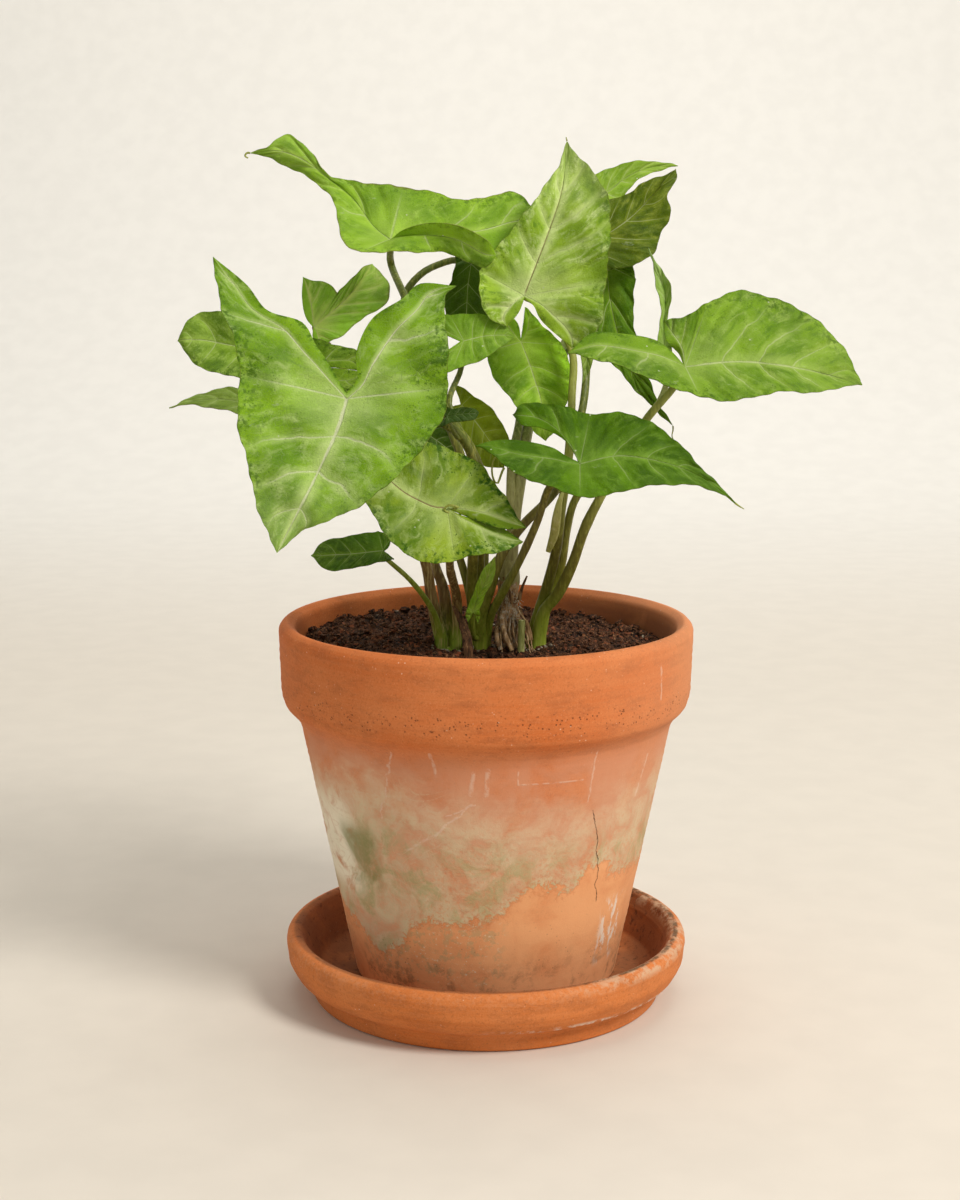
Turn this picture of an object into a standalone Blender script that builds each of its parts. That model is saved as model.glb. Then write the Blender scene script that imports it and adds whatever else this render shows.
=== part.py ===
"""Arrowhead plant (Syngonium) growing in a terracotta pot that stands on its saucer.

Lengths are in millimetres and become metres when a mesh is made. +Z is up, the origin is the middle of
the saucer's underside, and the front of the plant looks along -Y.

The leaves are set out as a photographer sees them: a leaf's outline is given in pixels of a 960 x 1200
picture taken from EYE, and its depth in millimetres behind the pot's axis.
"""

import math

import bpy
import numpy as np

MM = 0.001
GAP = 0.3
SHARP = math.radians(40)

# Pot, a standard 6 inch clay pot
RIM_RADIUS = 82.5
RIM_TOP = 154.4
LIP = 7.5
COLLAR_HEIGHT = 31.0
COLLAR_STEP = 7.5
BODY_TOP_RADIUS = 74.2
BASE_RADIUS = 52.0
WALL = 7.0
DRAIN_RADIUS = 8.0

# Saucer
SAUCER_RADIUS = 81.4
SAUCER_HEIGHT = 26.7
SAUCER_FOOT_RADIUS = 71.8
SAUCER_FLOOR = 7.0
FOOT_HEIGHT = 8.5

POT_FOOT = SAUCER_FLOOR + GAP
POT_FLOOR = POT_FOOT + 9.0
TURNS = 48

# Soil
SOIL_TOP = 143.0
SOIL_BUMP = 1.6
SOIL_RINGS = 7
SOIL_SIDES = 40

# Plant
BLADE = 0.8
NOTCH = 0.2
PETIOLE_SIDES = 7
PETIOLE_STEP = 15.0
FEWEST_STEPS = 3
KNEE = 3.0
TIP_SHARE = 0.5
FOOT_DEPTH = 16.0

# Where the picture is taken from, its downward tilt, its focal length and its middle
EYE = np.array([-2.4, -780.9, 302.8])
TILT = math.radians(10.26)
FOCAL = 1987.6
MIDDLE = (480.0, 600.0)
PIXELS_PER_MM = 2.5

GREEN = (0.20, 0.38, 0.05)
PALE_GREEN = (0.36, 0.50, 0.13)
DARK_GREEN = (0.06, 0.17, 0.03)
OLIVE = (0.22, 0.28, 0.06)


def spot(px, py, depth):
    """The point that shows at a pixel and lies depth behind the pot's axis."""
    across = (np.asarray(px, float) - MIDDLE[0]) / FOCAL
    up = (MIDDLE[1] - np.asarray(py, float)) / FOCAL
    cosine, sine = math.cos(TILT), math.sin(TILT)
    sight = np.stack([across, cosine + up * sine, up * cosine - sine], -1)
    reach = (depth - EYE[1]) / sight[..., 1]
    return EYE + sight * reach[..., None]


def clear_scene():
    for obj in list(bpy.data.objects):
        bpy.data.objects.remove(obj, do_unlink=True)


def material(name, colour, roughness):
    made = bpy.data.materials.new(name)
    made.use_nodes = True
    shader = made.node_tree.nodes["Principled BSDF"]
    shader.inputs["Base Color"].default_value = (*colour, 1.0)
    shader.inputs["Roughness"].default_value = roughness
    shader.inputs["Metallic"].default_value = 0.0
    return made


def placed(name, mesh, finish=None):
    """An object in the scene that shows a mesh, shaded smooth except across its sharp edges."""
    mesh.shade_smooth()
    mesh.set_sharp_from_angle(angle=SHARP)
    mesh.materials.clear()
    if finish:
        mesh.materials.append(finish)
    made = bpy.data.objects.new(name, mesh)
    bpy.context.scene.collection.objects.link(made)
    return made


def object_from(name, points, faces, finish=None):
    """An object whose mesh has these points, given in millimetres."""
    mesh = bpy.data.meshes.new(name)
    mesh.from_pydata((np.asarray(points) * MM).tolist(), [], [tuple(map(int, face)) for face in faces])
    mesh.validate()
    return placed(name, mesh, finish)


# Turned clay


def turned(name, profile, finish, closed):
    """A clay piece turned round the Z axis from (radius, height) points that run down its outer side."""
    points = [(radius, 0.0, height) for radius, height in profile]
    edges = [(i, i + 1) for i in range(len(points) - 1)]
    if closed:
        edges.append((len(points) - 1, 0))
    mesh = bpy.data.meshes.new(name)
    mesh.from_pydata((np.array(points) * MM).tolist(), edges, [])
    made = placed(name, mesh, finish)
    turn = made.modifiers.new("turn", "SCREW")
    turn.steps = turn.render_steps = TURNS
    turn.use_merge_vertices = True
    turn.merge_threshold = 0.0001
    turn.use_smooth_shade = True
    return made


def rounded(centre, radius, start, end, count):
    """Points of an arc in the profile plane, from angle start to end in degrees."""
    angles = np.radians(np.linspace(start, end, count))
    return [(centre[0] + radius * math.cos(a), centre[1] + radius * math.sin(a)) for a in angles]


def pot_profile():
    collar_foot = RIM_TOP - COLLAR_HEIGHT
    neck = collar_foot - COLLAR_STEP
    lip = LIP / 2
    outer = rounded((RIM_RADIUS - lip, RIM_TOP - lip), lip, 90, 0, 4)
    outer += [(RIM_RADIUS - 0.8, collar_foot + 3), (RIM_RADIUS - 2.2, collar_foot - 2)]
    outer += [(BODY_TOP_RADIUS + 1.8, neck + 1.2), (BODY_TOP_RADIUS, neck - 2)]
    outer += [(BASE_RADIUS + 1.0, POT_FOOT + 3), (BASE_RADIUS - 1.2, POT_FOOT), (DRAIN_RADIUS, POT_FOOT)]
    inner = [(DRAIN_RADIUS, POT_FLOOR), (BASE_RADIUS - WALL - 2, POT_FLOOR)]
    inner += [(BASE_RADIUS - WALL + 2, POT_FLOOR + 5), (BODY_TOP_RADIUS - WALL, neck)]
    inner += [(RIM_RADIUS - LIP - 0.6, collar_foot + 6), (RIM_RADIUS - LIP + 0.6, RIM_TOP - 2.4)]
    return outer + inner


def saucer_profile():
    lip = 3.6
    outer = rounded((SAUCER_RADIUS - lip, SAUCER_HEIGHT - lip), lip, 130, -10, 5)
    outer += [(SAUCER_RADIUS - 0.9, FOOT_HEIGHT + 6.5), (SAUCER_RADIUS - 4.0, FOOT_HEIGHT + 1.2)]
    outer += [(SAUCER_FOOT_RADIUS + 1.2, FOOT_HEIGHT - 0.5), (SAUCER_FOOT_RADIUS, FOOT_HEIGHT - 2.5)]
    outer += [(SAUCER_FOOT_RADIUS - 1.0, 0.8), (SAUCER_FOOT_RADIUS - 2.0, 0.0), (0.0, 0.0)]
    inner = [(0.0, SAUCER_FLOOR), (SAUCER_FOOT_RADIUS - 9, SAUCER_FLOOR)]
    inner += [(SAUCER_FOOT_RADIUS - 3.5, SAUCER_FLOOR + 3), (SAUCER_RADIUS - 8.5, SAUCER_HEIGHT - 6)]
    return outer, inner


def make_pot(finish):
    return turned("pot", pot_profile(), finish, closed=True)


def make_saucer(finish):
    outer, inner = saucer_profile()
    return turned("saucer", [*inner, *outer], finish, closed=False)


# Soil


def soil_height(x, y):
    """Height of the uneven surface, hollow round the stems and higher at the back left."""
    hollow = 3.0 * np.exp(-((x / 24.0) ** 2 + ((y + 4) / 20.0) ** 2))
    lumps = np.sin(x * 0.21 + 1.3) * np.cos(y * 0.17 - 0.4) + 0.6 * np.sin(x * 0.43 - y * 0.37)
    return SOIL_TOP - hollow + SOIL_BUMP * lumps * 0.6 + 0.025 * (y - x)


def make_soil(finish):
    """A plug of soil that fits the pot's inside, with a lumpy top."""
    points, faces = [], []
    wall_radius = RIM_RADIUS - LIP - 0.6 - GAP - 1.2
    for ring in range(1, SOIL_RINGS + 1):
        radius = wall_radius * ring / SOIL_RINGS
        for side in range(SOIL_SIDES):
            angle = 2 * math.pi * side / SOIL_SIDES
            x, y = radius * math.cos(angle), radius * math.sin(angle)
            points.append((x, y, soil_height(x, y)))
    neck = RIM_TOP - COLLAR_HEIGHT - COLLAR_STEP
    for radius, height in ((wall_radius, neck + 14), (BODY_TOP_RADIUS - WALL - GAP - 1.0, neck - 1),
                           (BASE_RADIUS - WALL + 2 - GAP - 1.0, POT_FLOOR + 5),
                           (BASE_RADIUS - WALL - 2 - GAP - 1.0, POT_FLOOR + GAP)):
        for side in range(SOIL_SIDES):
            angle = 2 * math.pi * side / SOIL_SIDES
            points.append((radius * math.cos(angle), radius * math.sin(angle), height))
    rings = SOIL_RINGS + 4
    top, foot = len(points), len(points) + 1
    points += [(0, 0, soil_height(0.0, 0.0)), (0, 0, POT_FLOOR + GAP)]
    last = (rings - 1) * SOIL_SIDES
    for side in range(SOIL_SIDES):
        after = (side + 1) % SOIL_SIDES
        faces.append((top, side, after))
        faces.append((foot, last + after, last + side))
        for ring in range(rings - 1):
            low, high = ring * SOIL_SIDES, (ring + 1) * SOIL_SIDES
            faces.append((low + side, high + side, high + after))
            faces.append((low + side, high + after, low + after))
    return object_from("soil", points, faces, finish)


# Curves


def smooth_line(points, count):
    """count + 1 evenly spaced points on a smooth curve through the given ones."""
    given = np.asarray(points, float)
    if len(given) == 2:
        return given[0] + (given[1] - given[0]) * np.linspace(0, 1, count + 1)[:, None]
    padded = np.vstack([2 * given[0] - given[1], given, 2 * given[-1] - given[-2]])
    fine = []
    for p0, p1, p2, p3 in zip(padded, padded[1:], padded[2:], padded[3:]):
        t0 = 0.0
        t1 = t0 + max(np.linalg.norm(p1 - p0), 1e-6) ** 0.5
        t2 = t1 + max(np.linalg.norm(p2 - p1), 1e-6) ** 0.5
        t3 = t2 + max(np.linalg.norm(p3 - p2), 1e-6) ** 0.5
        for t in np.linspace(t1, t2, 12, endpoint=False):
            a1 = (t1 - t) / (t1 - t0) * p0 + (t - t0) / (t1 - t0) * p1
            a2 = (t2 - t) / (t2 - t1) * p1 + (t - t1) / (t2 - t1) * p2
            a3 = (t3 - t) / (t3 - t2) * p2 + (t - t2) / (t3 - t2) * p3
            b1 = (t2 - t) / (t2 - t0) * a1 + (t - t0) / (t2 - t0) * a2
            b2 = (t3 - t) / (t3 - t1) * a2 + (t - t1) / (t3 - t1) * a3
            fine.append((t2 - t) / (t2 - t1) * b1 + (t - t1) / (t2 - t1) * b2)
    fine.append(given[-1])
    fine = np.array(fine)
    steps = np.concatenate([[0], np.cumsum(np.linalg.norm(np.diff(fine, axis=0), axis=1))])
    wanted = np.linspace(0, steps[-1], count + 1)
    return np.stack([np.interp(wanted, steps, fine[:, i]) for i in range(fine.shape[1])], -1)


# Leaves


def half(inner, lobe, outer, waist, front):
    """One side of a blade: round its basal lobe from the notch, then from the waist to the tip."""
    return {"inner": inner, "lobe": lobe, "outer": outer, "waist": waist, "front": front}


def padded_point(point):
    return np.array([*point, 0.0][:3], float)


def line(points, rows):
    return smooth_line([padded_point(point) for point in points], rows)


def vein_between(start, one, other):
    """A line from start that soon runs midway between two edges and meets them where they end."""
    middle = (one + other) / 2
    left = (1 - np.linspace(0, 1, len(one))[:, None]) ** 2
    return middle + left * (start - middle[0])


def lattice(vein, margin, columns):
    """Rows of (column + 1) points from a vein to the edge of the blade."""
    across = np.linspace(0, 1, columns + 1)[None, :, None]
    return vein[:, None] * (1 - across) + margin[:, None] * across


def leaf_sheet(leaf):
    """Points and triangles of a blade's middle sheet, in millimetres."""
    rows, columns = leaf.get("rows", 6), leaf.get("columns", 2)
    lobe_rows = rows * 2 // 3
    hub, tip = padded_point(leaf["hub"][:2]), leaf["tip"]
    fronts = {side: line([leaf[side]["waist"], *leaf[side]["front"], tip], rows) for side in ("left", "right")}
    midrib = vein_between(hub, fronts["left"], fronts["right"])
    if "midrib" in leaf:
        midrib = line([hub, *leaf["midrib"], tip], rows)
    first = [padded_point(leaf[side]["inner"][0]) for side in ("left", "right")]
    notch = hub + NOTCH * ((first[0] + first[1]) / 2 - hub)
    patches = []
    for side, turn in (("left", False), ("right", True)):
        part = leaf[side]
        outer = line([part["waist"], *reversed(part["outer"]), part["lobe"]], lobe_rows)
        inner = line([notch, *part["inner"], part["lobe"]], lobe_rows)
        vein = vein_between(hub, inner, outer)
        patches.append((lattice(midrib, fronts[side], columns), "front", turn))
        patches.append((lattice(vein, outer, columns), "front", not turn))
        patches.append((lattice(vein, inner, max(1, columns // 2)), "inner", turn))
    points, faces, known = [], [], {}
    for patch, (grid, kind, turn) in enumerate(patches):
        down, across = grid.shape[:2]
        s = np.linspace(0, 1, down)[:, None]
        t = np.linspace(0, 1, across)[None, :]
        cup = (1 - s ** 2) if kind == "front" else 2 * s * (1 - s)
        depth = leaf["hub"][2] + grid[..., 2]
        depth = depth + leaf["slant"][0] * (grid[..., 0] - hub[0]) / PIXELS_PER_MM
        depth = depth + leaf["slant"][1] * (hub[1] - grid[..., 1]) / PIXELS_PER_MM
        depth = depth - leaf.get("fold", 3.0) * cup * t ** 1.3
        depth = depth - leaf.get("arch", 0.0) * 4 * s * (1 - s)
        depth = depth + leaf.get("wave", 0.8) * np.sin(9.0 * s + 2.1 * patch) * t ** 2 * s * (1 - s) * 4
        spots = spot(grid[..., 0], grid[..., 1], depth)
        index = np.empty((down, across), int)
        for i in range(down):
            for j in range(across):
                key = tuple(np.round(spots[i, j], 3))
                if key not in known:
                    known[key] = len(points)
                    points.append(spots[i, j])
                index[i, j] = known[key]
        for i in range(down - 1):
            for j in range(across - 1):
                a, b, c, d = index[i, j], index[i + 1, j], index[i + 1, j + 1], index[i, j + 1]
                for face in ((a, b, c), (a, c, d)):
                    if len(set(face)) == 3:
                        faces.append(face[::-1] if turn else face)
    return np.array(points), np.array(faces)


def sheet_normals(points, faces):
    corners = points[faces]
    facing = np.cross(corners[:, 1] - corners[:, 0], corners[:, 2] - corners[:, 0])
    normals = np.zeros_like(points)
    for corner in range(3):
        np.add.at(normals, faces[:, corner], facing)
    return normals / np.linalg.norm(normals, axis=1)[:, None]


def thickened(points, faces, thickness):
    """The closed solid of a sheet, with the same triangles on both faces."""
    normals = sheet_normals(points, faces)
    count = len(points)
    solid = np.vstack([points + normals * thickness / 2, points - normals * thickness / 2])
    sides = {}
    for face in faces:
        for a, b in zip(face, np.roll(face, -1)):
            sides[(a, b)] = sides.get((a, b), 0) + 1
    rim = [(a, b) for a, b in sides if (b, a) not in sides]
    walls = []
    for a, b in rim:
        walls += [(b, a, a + count), (b, a + count, b + count)]
    return solid, [*map(tuple, faces), *[tuple(face[::-1] + count) for face in faces], *walls]


LEAVES = {
    "leaf_front_left": dict(
        rows=9,
        hub=(347, 399, -62), tip=(277, 553, -4), slant=(0.05, 0.4), fold=7, arch=3, colour=GREEN,
        midrib=[(338, 428), (320, 468)],
        left=half([(327, 361), (316, 345), (303, 323), (267, 310), (247, 285)], (213, 257, -4),
                  [(217, 285), (222, 310), (234, 339)], (240, 375), [(237, 417), (239, 433), (247, 460), (258, 510)]),
        right=half([(357, 379), (356, 354), (372, 319), (403, 298), (419, 284)], (456, 286, -2),
                   [(445, 298), (448, 343)], (448, 388), [(446, 410), (428, 441), (405, 468), (360, 506), (300, 533)])),
    "leaf_lower_centre": dict(
        rows=9,
        hub=(447, 508, -46), tip=(338, 440), slant=(0.0, 0.45), fold=4, arch=2, colour=PALE_GREEN,
        left=half([(461, 517), (480, 523, 2), (504, 532, 2)], (521, 545, 2),
                  [(504, 552), (481, 554)], (455, 561), [(435, 564), (422, 561), (400, 550), (376, 520), (350, 468)]),
        right=half([(458, 513, 1), (480, 516, -1), (504, 525, -1)], (526, 524, -1),
                   [(511, 506), (504, 495)], (480, 463), [(461, 454), (443, 446), (428, 443), (375, 432)])),
    "leaf_right_low": dict(
        rows=9,
        hub=(580, 464, -45), tip=(735, 503, 4), slant=(0.10, 1.1), fold=5, arch=4, colour=DARK_GREEN,
        midrib=[(620, 456), (675, 466), (705, 480), (722, 491)],
        left=half([(566, 456, -1), (553, 448), (515, 440), (492, 441)], (475, 446), [(494, 455), (511, 471), (539, 483)],
                  (580, 497), [(603, 496), (642, 487), (690, 485), (722, 494)]),
        right=half([(573, 450, 1), (563, 439), (541, 428), (522, 425)], (513, 415, 3), [(520, 406), (545, 403)],
                   (590, 414), [(630, 414), (667, 433), (705, 471)])),
    "leaf_top_centre": dict(
        rows=9,
        hub=(524, 296, -3), tip=(567, 141, 2), slant=(-0.15, 0.25), fold=7, arch=2, colour=PALE_GREEN,
        midrib=[(550, 228), (562, 190)],
        left=half([(519, 312)], (507, 327), [(485, 314), (480, 291)], (479, 271), [(495, 250), (536, 198), (559, 164)]),
        right=half([(533, 305, -1), (541, 320)], (572, 348), [(598, 330)], (606, 282),
                   [(610, 242), (609, 201), (595, 174), (579, 157)])),
    "leaf_top_left": dict(
        rows=9,
        hub=(390, 240, -12), tip=(250, 153, 6), slant=(0.0, 1.1), fold=2, colour=GREEN,
        midrib=[(374, 227, 4), (354, 200, 2), (334, 183), (303, 160), (278, 151)],
        left=half([(401, 231, -11), (428, 223, -22), (456, 225, -28), (479, 235, -24), (491, 244, -22)],
                  (496, 255, -16), [(485, 268, -8), (450, 254, -8), (420, 252, -10)], (361, 252, -14),
                  [(343, 243, -8), (338, 218, -4), (330, 196), (316, 183, 4), (288, 167, 8), (268, 158, 6)]),
        right=half([(405, 238, 6), (450, 238, 12), (490, 240, 18)], (540, 214, 22), [(516, 193, 10), (467, 200, 4), (428, 191)],
                   (403, 187), [(354, 181), (336, 178), (323, 169), (305, 145), (288, 135), (265, 147)])),
    "leaf_right": dict(
        rows=9,
        hub=(685, 367, -18), tip=(862, 385, 4), slant=(0.25, 0.9), fold=5, arch=5, colour=GREEN,
        midrib=[(740, 362), (805, 370)],
        left=half([(671, 351, -2), (655, 340), (614, 333), (592, 333)], (568, 353, -2), [(620, 366), (655, 381)],
                  (700, 397), [(731, 401), (779, 392), (822, 392), (850, 385)]),
        right=half([(679, 354, 5), (666, 340, 2)], (664, 321, 4), [(682, 317)], (708, 303),
                   [(735, 291), (779, 300), (811, 316), (839, 342), (854, 366)])),
    "leaf_centre": dict(
        hub=(521, 342, 22), tip=(546, 441), slant=(0.1, 0.25), fold=4, colour=GREEN,
        left=half([(523, 325)], (525, 307), [(546, 328)], (562, 345), [(572, 372), (567, 402), (558, 425)]),
        right=half([(508, 338)], (488, 342), [(484, 356)], (491, 370), [(505, 391), (517, 404), (533, 430)])),
    "leaf_centre_left": dict(
        hub=(464, 341, -8), tip=(514, 336), slant=(0.1, 0.5), fold=3, colour=GREEN,
        left=half([(445, 352)], (405, 384), [(425, 380)], (452, 371), [(485, 358), (507, 343)]),
        right=half([(445, 335)], (402, 322), [(425, 315)], (450, 315), [(483, 314), (505, 325)])),
    "leaf_back_dark": dict(
        hub=(471, 264, 28), tip=(464, 342), slant=(0.0, 0.2), fold=4, colour=DARK_GREEN,
        left=half([(478, 256)], (490, 244), [(493, 262)], (487, 283), [(489, 300), (484, 322)]),
        right=half([(464, 256)], (455, 246), [(455, 262)], (452, 280), [(445, 294), (447, 318)])),
    "leaf_olive": dict(
        hub=(462, 405, 20), tip=(504, 468), slant=(0.0, 0.2), fold=3, colour=OLIVE,
        left=half([(452, 407)], (444, 417), [(447, 426)], (455, 437), [(466, 452), (486, 466)]),
        right=half([(458, 395)], (452, 383), [(460, 386)], (472, 395), [(493, 410), (508, 437), (508, 455)])),
    "leaf_dark_curl": dict(
        rows=5, columns=1,
        hub=(447, 417, -38), tip=(479, 413), slant=(0.0, 0.8), fold=2, colour=DARK_GREEN,
        left=half([(442, 420)], (436, 426), [(442, 427)], (450, 423), [(464, 421), (475, 419)]),
        right=half([(442, 413)], (437, 406), [(442, 405)], (452, 409), [(464, 407), (475, 409)])),
    "leaf_shade": dict(
        hub=(414, 425, 15), tip=(462, 458), slant=(0.0, 0.2), fold=2, colour=DARK_GREEN,
        left=half([(405, 428)], (395, 440), [(402, 448)], (415, 450), [(435, 458), (450, 461)]),
        right=half([(412, 415)], (408, 402), [(418, 404)], (430, 412), [(448, 430), (457, 445)])),
    "leaf_top_right_back": dict(
        hub=(588, 205, 56), tip=(678, 166), slant=(0.3, 0.5), fold=3, colour=GREEN,
        left=half([(578, 212)], (562, 222), [(575, 228)], (592, 224), [(612, 210), (630, 188), (648, 174), (666, 169)]),
        right=half([(578, 200)], (560, 196), [(570, 186)], (585, 180), [(603, 171), (624, 163), (645, 161), (664, 162)])),
    "leaf_top_right": dict(
        hub=(585, 248, 40), tip=(676, 169, 4), slant=(0.2, 0.3), fold=4, colour=OLIVE,
        midrib=[(630, 218)],
        left=half([(582, 256)], (588, 272), [(605, 270)], (632, 267), [(656, 250), (661, 234), (671, 212), (668, 193), (676, 179)]),
        right=half([(576, 242)], (562, 232), [(568, 218)], (585, 210), [(607, 201), (626, 195), (640, 184), (662, 176)])),
    "leaf_hanging": dict(
        hub=(606, 264, 52), tip=(673, 426), slant=(0.0, 0.2), fold=3, colour=GREEN,
        midrib=[(612, 310), (632, 372)],
        left=half([(614, 258)], (624, 250), [(632, 262)], (636, 279), [(633, 305), (637, 340), (649, 380), (658, 401)]),
        right=half([(598, 258)], (588, 250), [(584, 262)], (586, 280), [(590, 315), (603, 350), (625, 378), (648, 403)])),
    "leaf_narrow_right": dict(
        rows=6, columns=1,
        hub=(664, 347, 12), tip=(648, 247), slant=(0.0, 0.15), fold=3, colour=GREEN,
        left=half([(661, 351)], (656, 360), [(655, 352)], (657, 343), [(661, 315), (656, 283), (651, 258)]),
        right=half([(666, 353, 1)], (673, 360), [(673, 350)], (671, 340), [(667, 318), (672, 288), (661, 270)])),
    "leaf_left": dict(
        hub=(300, 368, -12), tip=(178, 341, 2), slant=(0.0, 0.4), fold=4, colour=GREEN,
        left=half([(312, 376)], (352, 391), [(325, 396)], (290, 392), [(240, 377), (211, 372), (190, 359)]),
        right=half([(312, 362)], (356, 350), [(335, 346)], (300, 335), [(250, 318), (207, 311), (184, 325)])),
    "leaf_left_narrow": dict(
        hub=(300, 418, 30), tip=(169, 408), slant=(0.1, 1.4), fold=2, colour=GREEN,
        left=half([(312, 424)], (340, 436), [(325, 438)], (300, 434), [(260, 420), (218, 409), (190, 405)]),
        right=half([(312, 414)], (340, 406), [(325, 400)], (298, 398), [(258, 391), (222, 388), (190, 398)])),
    "leaf_back_left": dict(
        hub=(314, 327, 22), tip=(372, 264, 4), slant=(0.0, 0.5), fold=2, colour=GREEN,
        midrib=[(345, 300)],
        left=half([(306, 318), (302, 298)], (303, 277), [(320, 283)], (331, 297), [(343, 287), (361, 268)]),
        right=half([(313, 338)], (320, 348), [(331, 342)], (345, 334), [(361, 319), (385, 305), (389, 283)])),
    "leaf_low_left": dict(
        rows=6, columns=1,
        hub=(383, 551, -14), tip=(311, 556, 2), slant=(0.0, 0.9), fold=2, colour=GREEN,
        left=half([(388, 554)], (394, 559), [(388, 561)], (378, 562), [(350, 569), (325, 569)]),
        right=half([(388, 548)], (391, 541), [(388, 535)], (378, 531), [(350, 536), (325, 541)])),
    "leaf_curled_tip": dict(
        rows=4, columns=1,
        hub=(589, 340, 24), tip=(582, 384), slant=(0.0, 0.3), fold=2, colour=GREEN,
        left=half([(593, 336)], (597, 331), [(598, 338)], (596, 347), [(591, 366), (586, 378)]),
        right=half([(585, 336)], (580, 332), [(579, 338)], (580, 347), [(581, 360), (583, 372)])),
    "leaf_young": dict(
        rows=5, columns=1,
        hub=(473, 612, -16), tip=(495, 556), slant=(0.1, 0.0), fold=1.5, colour=PALE_GREEN,
        left=half([(472, 615)], (468, 622), [(466, 616)], (468, 607), [(475, 588), (485, 567)]),
        right=half([(475, 616)], (478, 624), [(480, 617)], (480, 608), [(485, 595), (494, 579)])),
}


# Petioles and stems: each clump has one short thick foot that stands in a plain hole in the soil

CLUMPS = {
    "stems_left": dict(at=(-15.0, 5.0), radius=6.6, colour=(0.22, 0.20, 0.07)),
    "stems_middle": dict(at=(-1.4, 7.5), radius=6.1, colour=(0.26, 0.30, 0.08)),
    "stems_right": dict(at=(20.5, 8.0), radius=5.6, colour=(0.26, 0.30, 0.08)),
}
STUMP_AT = (9.5, 8.0)
STUMP_RADIUS = 4.4
STUMP_TOP = 168.0
STUB_AT = (14.0, -4.0)
STUB_RADIUS = 1.4
SHEATH_AT = (-7.0, -18.0)
SHEATH_RADIUS = 1.9
HOLE_SIDES = 14

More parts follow.
